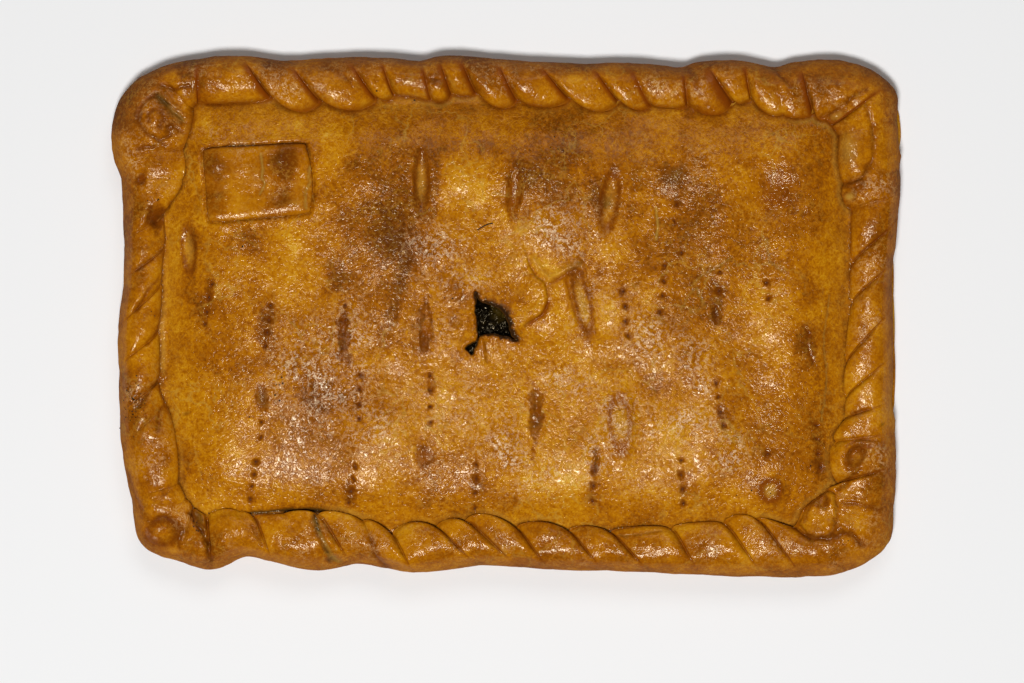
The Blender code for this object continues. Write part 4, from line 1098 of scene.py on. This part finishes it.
def lid_sheet(material, lip):
    """The lid sheet, finely made where it is pricked, blistered or torn, with a thick torn edge."""
    patch_loop = patch_outline()
    tear = smooth_loop(plan_path(VENT_TEAR), 0.35 * MM)
    spots = flat(*tear.T)
    tear = tear + np.stack([cloud(spots, 1.6 * MM, seed) for seed in (81, 82)], axis=1) * 0.28 * MM
    angles = np.linspace(0, 2 * np.pi, 900, endpoint=False)[::4]
    border = on_border(*carried_out(np.cos(angles), np.sin(angles)))
    border = smooth_loop(border, 1.6 * MM)
    inside = lid_lattice(patch_loop, tear)
    plan = np.concatenate((border, tear, inside))
    finish = lid_finish(*plan.T, patch_loop, tear, lip)
    top = lid_top(*plan.T) + finish.rise
    border_count, tear_count = len(border), len(tear)
    blocks = [np.column_stack((plan, top))]

    # The torn wall: the dough rounds over, thins and curls under, darker the deeper it is: burnt colour and
    # painted shade
    turning = np.sign(np.sum(tear[:, 0] * after(tear)[:, 1] - after(tear)[:, 0] * tear[:, 1]))
    along = after(tear) - after(tear, -1)
    normal = directions(np.stack((-along[:, 1], along[:, 0]), axis=1)) * turning
    tear_top = top[border_count : border_count + tear_count]
    wobble = cloud(np.column_stack((tear, tear_top)), 2.4 * MM, 83)
    for inward, drop, _ in TORN_WALL:
        place = tear + normal * ((inward + 0.12 * wobble) * MM)[:, None]
        blocks.append(np.column_stack((place, tear_top - drop * MM)))
    low_loop = tear - normal * 0.3 * MM
    blocks.append(np.column_stack((low_loop, lid_under(*low_loop.T))))

    # The hidden underside closes the sheet
    coarse = lattice(6 * MM, *LID_GRID_HALF)
    coarse = coarse[edge_distance(*coarse.T) > 3 * MM]
    coarse = coarse[~inside_loop(*coarse.T, low_loop)]
    coarse = coarse[path_distance(*coarse.T, low_loop, True)[0] > 1.5 * MM]
    low_plan = np.concatenate((border, coarse))
    blocks.append(np.column_stack((low_plan, lid_under(*low_plan.T))))
    points = np.concatenate(blocks)
    burnt_and_shade = [np.full(tear_count, amount) for *_, amount in TORN_WALL]
    added = {"burnt_and_shade": np.concatenate((*burnt_and_shade, np.ones(tear_count), np.zeros(len(low_plan))))}
    nothing = np.zeros(len(points) - len(plan))
    marks = {label: np.append(values, added.get(label, nothing)) for label, values in finish.marks.items()}
    first = len(points) - len(low_plan)
    wall = np.arange(len(plan), first).reshape(-1, tear_count)
    wall = np.vstack((np.arange(border_count, border_count + tear_count), wall))
    low_border, low_inside = np.split(np.arange(first, len(points)), [border_count])
    index = np.concatenate((low_border, wall[-1], low_inside))
    faces = [
        *web((border, tear), inside),
        *ring_faces(wall),
        *index[web((border, low_loop), coarse)],
        *ring_faces((np.arange(border_count), low_border)),
    ]
    return crust_piece("lid_sheet", points, faces, material, marks)


def pressed_patch(material):
    """The small dough rectangle with its rolled edge, following the lid."""
    loop = patch_outline()
    centre = (loop.min(axis=0) + loop.max(axis=0)) / 2
    half = (loop.max(axis=0) - loop.min(axis=0)) / 2
    count = len(loop)

    def inward_loop(inward):
        return centre + (loop - centre) * (1 - inward / half)

    rings = profile_rings(inward_loop, lambda place: lid_top(*place.T), PATCH_PROFILE)
    points = np.concatenate(rings)
    faces = [tuple(face) for face in ring_faces(np.arange(len(points)).reshape(-1, count))]
    for number, step, margin, height in ((len(rings) - 1, 0.55, 4.1, 2.45), (0, 4, 2.4, 0.35)):
        grid = lattice(step * MM, 32 * MM, 24 * MM) + centre
        spots = grid[inside_loop(*grid.T, inward_loop(margin * MM))]
        heights = lid_top(*spots.T) + height * MM
        points = fill_ring(points, faces, number * count, rings[number], spots, heights)
    x, y = points[:, 0], points[:, 1]
    finish = Finish(*ragged(x, y, 0.5, 3, 91))
    press_hollows(finish, PATCH_HOLLOWS)
    press_creases(finish, PATCH_CREASES)
    spots = flat(x, y)
    near = ragged(x, y, 2, 5, 92)
    for *place, amount in PATCH_TOASTED:
        finish.add("toast", amount * bell(oval(*near, *place)))
    finish.add("toast", -0.01 + 0.10 * cloud(spots, 8 * MM, 93))
    upper = points[:, 2] - lid_top(x, y) > 1.2 * MM
    points[:, 2] += (finish.rise + clouds(spots, (0.22, 6, 94), (0.1, 2.6, 95)) * MM) * upper
    edge = path_distance(x, y, loop, True)[0]
    # Painted shade and a dark line along the patch's edge, strongest on its upper side
    painted_shade_side = np.clip((y - PATCH_SHADE_FROM) / (4 * MM), 0.4, 1)
    finish.add("toast", 0.22 * painted_shade_side * bell(edge / (0.9 * MM)))
    finish.mark("caramel", 0.5 * painted_shade_side * bell(edge / (0.5 * MM)))
    finish.mark("glaze", 0.05 + 0.25 * cloud(spots, 9 * MM, 96))
    return crust_piece("pressed_patch", points, faces, material, finish.marks)


def gathered(count, centre, spread, pull):
    """Shares from 0 to 1 that gather round a centre."""
    even = np.linspace(0, 1, count + 1)
    weight = 1 + pull * bell((even - centre) / spread)
    total = np.concatenate(([0], np.cumsum((weight[1:] + weight[:-1]) / 2)))
    return np.interp(np.linspace(0, total[-1], count + 1), total, even)


def ink_filling(material):
    """The dark filling: a flat-bottomed slab that follows the lid, rough and lumpy under the vent."""
    wide, high = FILLING_CELLS
    u, v = np.meshgrid(gathered(wide, 0.485, 0.05, 14), gathered(high, 0.48, 0.075, 12), indexing="ij")
    share = np.maximum(np.abs(2 * u - 1), np.abs(2 * v - 1))
    border = on_border(*carried_out((2 * u - 1) / 2, (2 * v - 1) / 2))
    x, y = (LID_MIDDLE + (border - LID_MIDDLE) * share[..., None]).reshape(-1, 2).T
    from_vent = np.hypot(x - VENT_MIDDLE[0], y - VENT_MIDDLE[1])
    lumps = LUMP_AMPLITUDE * (LUMP_SINK + waves(x, y, (LUMP_LENGTH, LUMP_LENGTH), LUMP_SEED))
    corner = np.abs(2 * x / LID_LENGTH * 2 * y / LID_WIDTH) ** CORNER_POWER
    top = lid_under(x, y) - FILLING_GAP - CORNER_SETTLE * corner - lumps * bell(from_vent / LUMP_REACH, 4)
    spots = flat(x, y)
    fine = 0.45 * MM * np.abs(cloud(spots, 2.2 * MM, 101)) + 0.25 * MM * cloud(spots, 1.1 * MM, 102)
    points = np.column_stack((x, y, top - fine * bell(from_vent / (15 * MM), 4)))
    numbers = np.arange(len(points)).reshape(wide + 1, high + 1)
    faces = np.stack((numbers[:-1, :-1], numbers[1:, :-1], numbers[1:, 1:], numbers[:-1, 1:]), axis=-1)
    ring = np.concatenate((numbers[:-1, 0], numbers[-1, :-1], numbers[:0:-1, -1], numbers[0, :0:-1]))
    low = len(points) + np.arange(len(ring))
    foot = np.column_stack((x[ring], y[ring], np.full(len(ring), BASE_THICK + GAP)))
    points = np.concatenate((points, foot))
    faces = [*faces.reshape(-1, 4), *ring_faces((low, ring)), low]
    return crust_piece("ink_filling", points, faces, material)


class Nodes:
    """The nodes of one tree. Each call adds a node, and numbers or links go in alike."""

    def __init__(self, tree):
        self.tree = tree

    def put(self, value, socket):
        """Link a result to a socket, or set the socket's own value."""
        if isinstance(value, bpy.types.NodeSocket):
            self.tree.links.new(value, socket)
        else:
            socket.default_value = (*value, 1) if socket.type == "RGBA" else value

    def add(self, kind, inputs=None, **settings):
        """One node, with its settings, values and links."""
        made = self.tree.nodes.new(kind)
        for name, value in settings.items():
            setattr(made, name, value)
        for name, value in (inputs or {}).items():
            self.put(value, made.inputs[name])
        return made

    def use(self, group, **inputs):
        """The outputs of a placed node group."""
        return self.add("ShaderNodeGroup", inputs, node_tree=group).outputs

    def calc(self, operation, first, second=0.0, third=0.0, clamp=False):
        """The result of one Math node."""
        values = {0: first, 1: second, 2: third}
        return self.add("ShaderNodeMath", values, operation=operation, use_clamp=clamp).outputs[0]

    def minus(self, first, second):
        return self.calc("SUBTRACT", first, second)

    def times(self, first, second, clamp=False):
        return self.calc("MULTIPLY", first, second, clamp=clamp)

    def scaled(self, value, factor, plus, clamp=False):
        """A value times a factor, with another value added."""
        return self.calc("MULTIPLY_ADD", value, factor, plus, clamp)

    def greatest(self, first, second, clamp=False):
        """The greater of two values."""
        return self.calc("MAXIMUM", first, second, clamp=clamp)

    def vector(self, operation, *vectors, **inputs):
        """The result of one Vector Math node."""
        made = self.add("ShaderNodeVectorMath", {**dict(enumerate(vectors)), **inputs}, operation=operation)
        return made.outputs["Value" if operation == "DISTANCE" else "Vector"]

    def blend(self, share, first, second):
        """One colour passing into another, by the Mix node's factor and its two colour sockets."""
        values = {0: share, 6: first, 7: second}
        return self.add("ShaderNodeMix", values, data_type="RGBA", clamp_factor=True).outputs[2]

    def spread(self, value, low, high, to_low=0.0, to_high=1.0):
        """A value carried from one range to another, held within it."""
        ends = {"From Min": low, "From Max": high, "To Min": to_low, "To Max": to_high}
        return self.add("ShaderNodeMapRange", {"Value": value, **ends}, clamp=True).outputs["Result"]

    def noise(self, place, scale, detail=2.0, roughness=0.5, distortion=0.0):
        """The factor of one noise texture."""
        values = {"Vector": place, "Scale": scale, "Detail": detail, "Roughness": roughness}
        return self.add("ShaderNodeTexNoise", {**values, "Distortion": distortion}).outputs["Fac"]

    def strand(self, place, scale, width, distortion):
        """Thin wandering lines, where a distorted noise passes its middle value."""
        value = self.noise(place, scale, distortion=distortion)
        return self.spread(self.calc("ABSOLUTE", self.minus(value, 0.5)), 0.0, width, 1.0, 0.0)

    def attribute(self, name):
        """A mark of the piece."""
        return self.add("ShaderNodeAttribute", attribute_name=name).outputs["Fac"]

    def bump(self, height, distance, strength=1.0):
        """The normal of a surface with a fine relief, its distance in metres."""
        values = {"Strength": strength, "Distance": distance, "Height": height}
        return self.add("ShaderNodeBump", values).outputs["Normal"]


def node_group(name, kind, inputs, outputs):
    """A new group: its nodes, its input sockets by name, and its output sockets. Each input is given
    a first value or, where it takes none, the kind of its socket."""
    group = bpy.data.node_groups.new(name, kind)
    sockets = {}
    for label, value in inputs.items():
        word = value if isinstance(value, str) else {float: "Float", int: "Int"}[type(value)]
        socket = group.interface.new_socket(label, in_out="INPUT", socket_type="NodeSocket" + word)
        if word != value:
            socket.default_value = value
        sockets[label] = socket.identifier
    for label in outputs:
        word = "Geometry" if label == "Geometry" else "Float"
        group.interface.new_socket(label, in_out="OUTPUT", socket_type="NodeSocket" + word)
    given = group.nodes.new("NodeGroupInput").outputs
    result = group.nodes.new("NodeGroupOutput").inputs
    return Nodes(group), given, result, sockets


def shader_group(name, *outputs, **inputs):
    """A shader group that reads places, without its socket list."""
    return node_group(name, "ShaderNodeTree", {"Place": "Vector", **inputs}, outputs)[:3]


def baked_mottle():
    """Uneven browning: broad clouds, blotches and a fine skin of darker flecks over gold."""
    nodes, given, result = shader_group("baked_mottle", "Bake", Toast=0.0, Strand=0.0, Contrast=1.0)
    place = given["Place"]
    blotch = nodes.noise(place, 110.0, 3.0, 0.6, 0.6)
    mottle = nodes.noise(place, 330.0, 4.0, 0.65, 1.0)
    fleck = nodes.noise(place, 900.0, 3.0, 0.65, 0.5)
    total = 0.0
    for pattern, amount in ((blotch, 0.40), (mottle, 0.56), (fleck, 0.38)):
        total = nodes.scaled(nodes.minus(pattern, 0.5), amount, total)
    total = nodes.times(nodes.scaled(given["Strand"], -0.22, total), given["Contrast"])
    nodes.put(nodes.calc("ADD", nodes.calc("ADD", total, given["Toast"]), 0.50), result["Bake"])
    return nodes.tree


def skin_wrinkles():
    """The crust's dried skin: fibrous raised strands of two sizes over a soft swell, and finer ones."""
    nodes, given, result = shader_group("skin_wrinkles", "Height", "Strand", "StreakAndGlint", Wrinkle=1.0, Fine=0.0)
    place = given["Place"]
    long = nodes.strand(place, 170.0, 0.09, 1.6)
    short = nodes.strand(place, 430.0, 0.11, 0.6)
    some = nodes.spread(nodes.noise(place, 95.0), 0.42, 0.6)
    strands = nodes.scaled(nodes.times(long, some), 0.5, nodes.times(short, 0.5))
    grain = nodes.noise(place, 620.0, distortion=0.4)
    swell = nodes.noise(place, 260.0, distortion=0.8)
    height = nodes.times(nodes.times(strands, 0.85), given["Wrinkle"])
    height = nodes.scaled(nodes.times(grain, given["Fine"]), 0.45, height)
    # Broken dashes: pale dried wash streaks, whitened into painted glints on glazed places
    streak_and_glint = nodes.strand(place, 720.0, 0.11, 0.5)
    broken = nodes.spread(nodes.noise(place, 480.0), 0.45, 0.55)
    patchy = nodes.spread(nodes.noise(place, 70.0, 3.0, 0.6), 0.35, 0.65, 0.15, 1.0)
    nodes.put(nodes.scaled(swell, 0.9, height), result["Height"])
    nodes.put(strands, result["Strand"])
    nodes.put(nodes.times(nodes.times(streak_and_glint, broken), patchy), result["StreakAndGlint"])
    return nodes.tree


def stretch_lines():
    """A mask of fine pale lines where the skin of the dough has stretched open."""
    nodes, given, result = shader_group("stretch_lines", "Mask", Scale=45.0, Amount=0.5)
    place = given["Place"]
    bend = nodes.add("ShaderNodeTexNoise", {"Vector": place, "Scale": 90.0, "Detail": 3.0}).outputs["Color"]
    moved = nodes.vector("ADD", place, nodes.vector("SCALE", bend, Scale=0.022))
    cells = {"Vector": moved, "Scale": given["Scale"]}
    cells = nodes.add("ShaderNodeTexVoronoi", cells, feature="DISTANCE_TO_EDGE")
    line = nodes.spread(cells.outputs["Distance"], 0.0, 0.035, 1.0, 0.0)
    some = nodes.spread(nodes.noise(place, 28.0), 0.46, 0.62)
    nodes.put(nodes.times(nodes.times(line, some), given["Amount"]), result["Mask"])
    return nodes.tree


def char_specks():
    """A mask of tiny dark specks that thicken where there is soot."""
    nodes, given, result = shader_group("char_specks", "Mask", Soot=0.0)
    cells = {"Vector": given["Place"], "Scale": 620.0, "Randomness": 1.0}
    dots = nodes.add("ShaderNodeTexVoronoi", cells).outputs
    pick = nodes.add("ShaderNodeSeparateColor", {"Color": dots["Color"]}).outputs
    size = nodes.times(nodes.scaled(given["Soot"], 0.34, 0.02), pick[0])
    mask = nodes.spread(nodes.minus(dots["Distance"], size), 0.0, 0.08, 1.0, 0.0)
    chosen = nodes.calc("LESS_THAN", pick[1], nodes.scaled(given["Soot"], 0.5, 0.035))
    nodes.put(nodes.times(mask, chosen), result["Mask"])
    return nodes.tree


def start_material(name):
    """A new material, its nodes, and the piece's own coordinates."""
    material = bpy.data.materials.new(name)
    material.use_nodes = True
    nodes = Nodes(material.node_tree)
    return material, nodes, nodes.add("ShaderNodeTexCoord").outputs["Object"]


def finish_material(nodes, colour, rough, normal, gloss, tint):
    """Set what the shader of a material shows."""
    shader = nodes.tree.nodes["Principled BSDF"].inputs
    nodes.put(colour, shader["Base Color"])
    nodes.put(rough, shader["Roughness"])
    nodes.put(normal, shader["Normal"])
    nodes.put(gloss, shader["Specular IOR Level"])
    nodes.put(tint, shader["Specular Tint"])


def bake_ramp(nodes, bake):
    """The colour of the crust, from pale gold to dark brown."""
    ramp = nodes.add("ShaderNodeValToRGB", {"Fac": bake})
    stops = ramp.color_ramp.elements
    while len(stops) < len(BAKE_COLOURS):
        stops.new(0.5)
    for stop, (position, colour) in zip(stops, BAKE_COLOURS):
        stop.position = position
        stop.color = (*colour, 1.0)
    return ramp.outputs["Color"]


def crust_material(name, groups, contrast, wrinkle, lines, dull=0.0):
    """Glazed baked dough, driven by the marks on its piece."""
    mottle, wrinkles, stretch, specks = groups
    material, nodes, place = start_material(name)
    toast, pale, caramel, burnt_and_shade, glaze, soot, matte = (nodes.attribute(label) for label in MARKS)
    skin = nodes.use(wrinkles, Place=place, Wrinkle=wrinkle, Fine=glaze)
    bake = nodes.use(mottle, Place=place, Toast=toast, Strand=skin["Strand"], Contrast=contrast)["Bake"]
    stretched = nodes.use(stretch, Place=place, Scale=45.0, Amount=lines)["Mask"]
    colour = nodes.blend(nodes.greatest(pale, stretched), bake_ramp(nodes, bake), PALE_DOUGH)
    # Dried wash streaks in the colour, whitening into painted glints where the crust is glazed
    streak_and_glint_colour = nodes.blend(nodes.times(glaze, 1.3, True), DRY_STREAK, DRIED_WASH_AND_GLINT)
    streak_and_glint_amount = nodes.times(skin["StreakAndGlint"], nodes.scaled(glaze, 0.62, 0.38), True)
    colour = nodes.blend(streak_and_glint_amount, colour, streak_and_glint_colour)
    colour = nodes.blend(nodes.times(caramel, 0.85, True), colour, CARAMEL)
    # Burnt places, painted shade in seams and gaps, and soot specks darken the colour
    dark = nodes.greatest(burnt_and_shade, nodes.use(specks, Place=place, Soot=soot)["Mask"], True)
    colour = nodes.blend(dark, colour, BURNT_AND_SHADE)
    lift = nodes.times(nodes.scaled(glaze, 1.1, 0.5), nodes.scaled(caramel, -0.3, 1.0, True))
    normal = nodes.bump(nodes.times(skin["Height"], lift), 0.32 * MM)
    rough = nodes.scaled(nodes.greatest(glaze, caramel, True), -0.03, 0.15 + dull)
    rough = nodes.scaled(nodes.minus(nodes.noise(place, 160.0, 3.0, 0.6), 0.5), 0.10, rough)
    rough = nodes.scaled(matte, 0.80, rough, True)
    finish_material(nodes, colour, rough, normal, 0.18, (1.0, 0.88, 0.66))
    return material


def ink_material():
    """Wet black ink over chopped filling."""
    material, nodes, place = start_material("ink_wet")
    # Brown patches and the brown piece: brown filling, with painted sheen on the wet ink
    patch = nodes.noise(place, 260.0, 3.0, 0.6, 0.5)
    apart = nodes.vector("DISTANCE", place, BROWN_PIECE_AND_SHEEN)
    piece = nodes.spread(nodes.scaled(patch, 4 * MM, apart), 4.5 * MM, 8.5 * MM, 1.0, 0.0)
    brown = nodes.greatest(nodes.spread(patch, 0.58, 0.8, 0.0, 0.5), piece)
    rough = nodes.spread(nodes.noise(place, 700.0), 0.3, 0.7, 0.08, 0.24)
    normal = nodes.bump(nodes.noise(place, 300.0, 3.0, 0.5, 0.8), 0.7 * MM)
    finish_material(nodes, nodes.blend(brown, INK, INK_BROWN_AND_SHEEN), rough, normal, 0.18, (1.0, 0.8, 0.5))
    return material


def burnt_material(name, colour, brown, rough):
    """Burnt drops and flecks."""
    material, nodes, place = start_material(name)
    mixed = nodes.blend(nodes.spread(nodes.noise(place, 1500.0), 0.35, 0.7), colour, brown)
    rough = nodes.spread(nodes.noise(place, 2200.0), 0.3, 0.7, rough, rough + 0.25)
    normal = nodes.bump(nodes.noise(place, 1800.0), 0.2 * MM, 0.6)
    finish_material(nodes, mixed, rough, normal, 0.2, (1.0, 0.8, 0.6))
    return material


def growing_group(name, **inputs):
    """A geometry group that turns the points or edges it is given into a piece."""
    return node_group(name, "GeometryNodeTree", {"Geometry": "Geometry", **inputs}, ("Geometry",))


def close_group(nodes, result, shape, material):
    """End a geometry group in a plain smooth mesh with its material."""
    real = nodes.add("GeometryNodeRealizeInstances", {"Geometry": shape})
    finished = nodes.add("GeometryNodeSetMaterial", {"Geometry": real.outputs[0], "Material": material})
    smooth = nodes.add("GeometryNodeSetShadeSmooth", {"Geometry": finished.outputs[0]})
    nodes.put(smooth.outputs[0], result[0])


def scatter_tree(name, material):
    """Geometry nodes that set a small rough drop on every point, turned and sized at random."""
    sizes = {"Drop size": 1 * MM, "Flatness": 0.5, "Roughness": 0.3, "Fineness": 2, "Seed": 1}
    nodes, given, result, sockets = growing_group(name, **sizes)
    drop = nodes.add("GeometryNodeMeshIcoSphere", {"Radius": 1.0, "Subdivisions": given["Fineness"]})
    wobble = nodes.add("ShaderNodeTexNoise", {"Scale": 1.3, "Detail": 2.0}).outputs["Color"]
    wobble = nodes.vector("SUBTRACT", wobble, (0.5, 0.5, 0.5))
    wobble = nodes.vector("SCALE", wobble, Scale=given["Roughness"])
    moved = nodes.add("GeometryNodeSetPosition", {"Geometry": drop.outputs["Mesh"], "Offset": wobble})
    squash = nodes.add("ShaderNodeCombineXYZ", {"X": 1.0, "Y": 1.0, "Z": given["Flatness"]})
    flattened = nodes.add("GeometryNodeTransform", {"Geometry": moved.outputs[0], "Scale": squash.outputs[0]})
    turns = {"Min": (-0.2, -0.2, 0.0), "Max": (0.2, 0.2, 6.283), "Seed": given["Seed"]}
    turns = nodes.add("FunctionNodeRandomValue", turns, data_type="FLOAT_VECTOR")
    size = nodes.add("GeometryNodeInputNamedAttribute", {"Name": "size"}, data_type="FLOAT")
    size = nodes.times(size.outputs["Attribute"], given["Drop size"])
    placing = {"Instance": flattened.outputs[0], "Rotation": turns.outputs["Value"], "Scale": size}
    placed = nodes.add("GeometryNodeInstanceOnPoints", {"Points": given["Geometry"], **placing})
    close_group(nodes, result, placed.outputs[0], material)
    return nodes.tree, sockets


def strand_tree(name, material):
    """Geometry nodes that turn a line of points into a thin round strand with tapered ends."""
    nodes, given, result, sockets = growing_group(name, Thickness=0.5 * MM)
    line = nodes.add("GeometryNodeMeshToCurve", {"Mesh": given["Geometry"]})
    share = nodes.add("GeometryNodeSplineParameter").outputs["Factor"]
    middle = nodes.times(nodes.times(share, nodes.minus(1.0, share)), 4.0)
    width = nodes.scaled(nodes.calc("POWER", middle, 0.4), 0.8, 0.2)
    sized = nodes.add("GeometryNodeSetCurveRadius", {"Curve": line.outputs["Curve"], "Radius": width})
    ring = {"Resolution": 8, "Radius": nodes.times(given["Thickness"], 0.5)}
    ring = nodes.add("GeometryNodeCurvePrimitiveCircle", ring).outputs["Curve"]
    body = {"Curve": sized.outputs["Curve"], "Profile Curve": ring, "Fill Caps": True}
    close_group(nodes, result, nodes.add("GeometryNodeCurveToMesh", body).outputs["Mesh"], material)
    return nodes.tree, sockets


def grown(name, points, edges, grower, sizes=(), **values):
    """A piece that a geometry tree makes from points and edges, kept as a plain mesh."""
    mesh = bpy.data.meshes.new(name + "_seeds")
    mesh.from_pydata((np.asarray(points) + (*PLAN_SHIFT, 0.0)).tolist(), edges, [])
    if len(sizes):
        attribute = mesh.attributes.new("size", "FLOAT", "POINT")
        attribute.data.foreach_set("value", np.asarray(sizes, dtype=np.float32))
    seeds = linked(name + "_seeds", mesh)
    modifier = seeds.modifiers.new("grow", "NODES")
    modifier.node_group, sockets = grower
    for label, value in values.items():
        modifier[sockets[label.replace("_", " ")]] = value
    made = bpy.data.meshes.new_from_object(seeds.evaluated_get(bpy.context.evaluated_depsgraph_get()))
    made.name = name
    bpy.data.objects.remove(seeds, do_unlink=True)
    return linked(name, made)


def surface_heights(item):
    """A tree for finding the top surface of a piece under a plan point."""
    return BVHTree.FromObject(item, bpy.context.evaluated_depsgraph_get())


def height_under(surface, x, y):
    """How high the surface stands at a plan place, or 0 beside it."""
    hit = surface.ray_cast(Vector((x + PLAN_SHIFT[0], y + PLAN_SHIFT[1], 0.1)), Vector((0, 0, -1)))[0]
    return 0.0 if hit is None else hit.z


def burnt_drops(lid, material):
    """A charred drop in every fork prick."""
    surface = surface_heights(lid)
    random = np.random.default_rng(13)
    points = []
    sizes = []
    for px, py, size in prick_places():
        x, y = at_point(px, py)
        points.append((x, y, height_under(surface, x, y) - 0.05 * MM))
        sizes.append(size * random.uniform(0.8, 1.15))
    shape = {"Drop_size": 0.5 * MM, "Flatness": 0.35, "Roughness": 1.1, "Fineness": 3, "Seed": 5}
    return grown("prick_drops", points, [], scatter_tree("burnt_drop_scatter", material), sizes, **shape)


def soot_flecks(pieces, material):
    """Loose flecks of soot and char where the crust is sooty."""
    surfaces = [surface_heights(piece) for piece in pieces]
    random = np.random.default_rng(17)
    points = []
    sizes = []
    for px, py, half_width, half_height, amount in SOOTY:
        for _ in range(int(amount * half_width * half_height * 0.16) + 1):
            place = random.normal(0, 0.5, 2)
            x, y = at_point(px + place[0] * half_width, py + place[1] * half_height)
            top = max(height_under(surface, x, y) for surface in surfaces)
            if top > 0:
                points.append((x, y, top + 0.02 * MM))
                sizes.append(random.uniform(0.35, 1.0) ** 2)
    shape = {"Drop_size": 0.55 * MM, "Flatness": 0.35, "Roughness": 0.9, "Fineness": 1, "Seed": 9}
    return grown("soot_flecks", points, [], scatter_tree("soot_scatter", material), sizes, **shape)


def ink_lumps(filling, material):
    """Chopped pieces standing out of the wet filling under the vent."""
    surface = surface_heights(filling)
    random = np.random.default_rng(23)
    points = []
    sizes = []
    tear = plan_path(VENT_TEAR)
    while len(points) < LUMP_COUNT:
        x, y = np.array([random.uniform(-22, 9)]) * MM, np.array([random.uniform(-23, 13)]) * MM
        if inside_loop(x, y, tear)[0] or path_distance(x, y, tear, True)[0][0] < 2 * MM:
            x, y = x[0], y[0]
            points.append((x, y, height_under(surface, x, y) - random.uniform(0.2, 0.9) * MM))
            sizes.append(random.uniform(0.35, 1.0))
    shape = {"Drop_size": 2.7 * MM, "Flatness": 0.7, "Roughness": 1.0, "Fineness": 4, "Seed": 3}
    return grown("ink_lumps", points, [], scatter_tree("ink_lump_scatter", material), sizes, **shape)


def black_strand(lid, material):
    """The thin black strand that lies on the lid above the vent."""
    surface = surface_heights(lid)
    points = []
    for share in np.linspace(0, 1, 9):
        x, y = at_point(477.5 + 15.5 * share, 231 - 7 * share - 1.2 * np.sin(np.pi * share))
        points.append((x, y, height_under(surface, x, y) + (0.2 + 0.3 * share) * MM))
    edges = [(spot, spot + 1) for spot in range(len(points) - 1)]
    return grown("black_strand", points, edges, strand_tree("thin_strand", material), Thickness=0.5 * MM)


def dress():
    """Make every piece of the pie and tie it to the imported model."""
    groups = (baked_mottle(), skin_wrinkles(), stretch_lines(), char_specks())
    rim_crust = crust_material("rim_crust_baked", groups, 0.8, 0.7, 0.25)
    lid_crust = crust_material("lid_crust_baked", groups, 1.12, 1.0, 0.4)
    patch_crust = crust_material("patch_crust_baked", groups, 0.6, 0.5, 0.1)
    under_crust = crust_material("under_crust_baked", groups, 1.2, 0.8, 0.2, 0.5)
    ink = ink_material()
    drops = burnt_material("burnt_drops", (0.045, 0.011, 0.002), (0.12, 0.028, 0.004), 0.3)
    soot = burnt_material("soot_dark", (0.012, 0.010, 0.008), (0.05, 0.03, 0.018), 0.6)

    plan = RopePlan()
    rim = rope_rim(plan, rim_crust)
    sheet = bottom_sheet(plan, under_crust)
    lid = lid_sheet(lid_crust, plan.inner)
    patch = pressed_patch(patch_crust)
    filling = ink_filling(ink)
    pricks = burnt_drops(lid, drops)
    flecks = soot_flecks((rim, lid, patch), soot)
    lumps = ink_lumps(filling, ink)
    thread = black_strand(lid, soot)

    for piece, slot in (
        (rim, "rim_crust"),
        (sheet, "rim_crust"),
        (lid, "lid_crust"),
        (patch, "patch_crust"),
        (filling, "ink_filling"),
        (pricks, "lid_crust"),
        (flecks, "rim_crust"),
        (lumps, "ink_filling"),
        (thread, "ink_filling"),
    ):
        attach(piece, "root")
    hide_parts("base_crust")
    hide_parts("base_crust")
    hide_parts("lid_crust")
    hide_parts("dough_patch")
    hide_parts("filling")


def soft_light(name, place, size, energy):
    """A rectangular softbox aimed at the middle of the pie."""
    lamp = bpy.data.lights.new(name, "AREA")
    lamp.shape = "RECTANGLE"
    lamp.size, lamp.size_y = size
    lamp.energy = energy
    item = linked(name, lamp)
    item.location = place
    item.rotation_euler = (-Vector(place)).to_track_quat("-Z", "Y").to_euler()


def studio():
    """A plain pale floor, soft light from above, and a long-lens camera straight over the pie."""
    mesh = bpy.data.meshes.new("floor")
    mesh.from_pydata([(-3, -3, 0), (3, -3, 0), (3, 3, 0), (-3, 3, 0)], [], [(0, 1, 2, 3)])
    material, nodes, place = start_material("pale_floor")
    tone = nodes.blend(nodes.noise(place, 3.0), FLOOR_COLOUR, tuple(part * 0.985 for part in FLOOR_COLOUR))
    shader = nodes.tree.nodes["Principled BSDF"].inputs
    nodes.put(tone, shader["Base Color"])
    nodes.put(0.9, shader["Roughness"])
    nodes.put(0.0, shader["Specular IOR Level"])
    mesh.materials.append(material)
    floor = linked("floor", mesh)

    soft_light("softbox", (-0.16, -0.72, 2.55), (0.56, 0.4), 62.0)
    soft_light("top_fill", (0.3, 1.6, 2.2), (1.6, 0.9), 12.0)
    world = bpy.data.worlds.new("studio_air")
    world.use_nodes = True
    world.node_tree.nodes["Background"].inputs["Color"].default_value = (1.0, 0.99, 0.97, 1.0)
    world.node_tree.nodes["Background"].inputs["Strength"].default_value = 0.06
    bpy.context.scene.world = world

    camera = bpy.data.cameras.new("camera")
    camera.sensor_width = 36.0
    camera.lens = 135.0
    camera.clip_end = 20.0
    item = linked("camera", camera)
    wide, high = PICTURE_SIZE
    middle_x, middle_y = np.array(at_point(wide / 2, high / 2)) + PLAN_SHIFT
    item.location = (middle_x, middle_y, CAMERA_AIM_HEIGHT + wide * POINT * camera.lens / camera.sensor_width)
    bpy.context.scene.camera = item
    bpy.context.scene.view_settings.view_transform = "Standard"


dress()
studio()
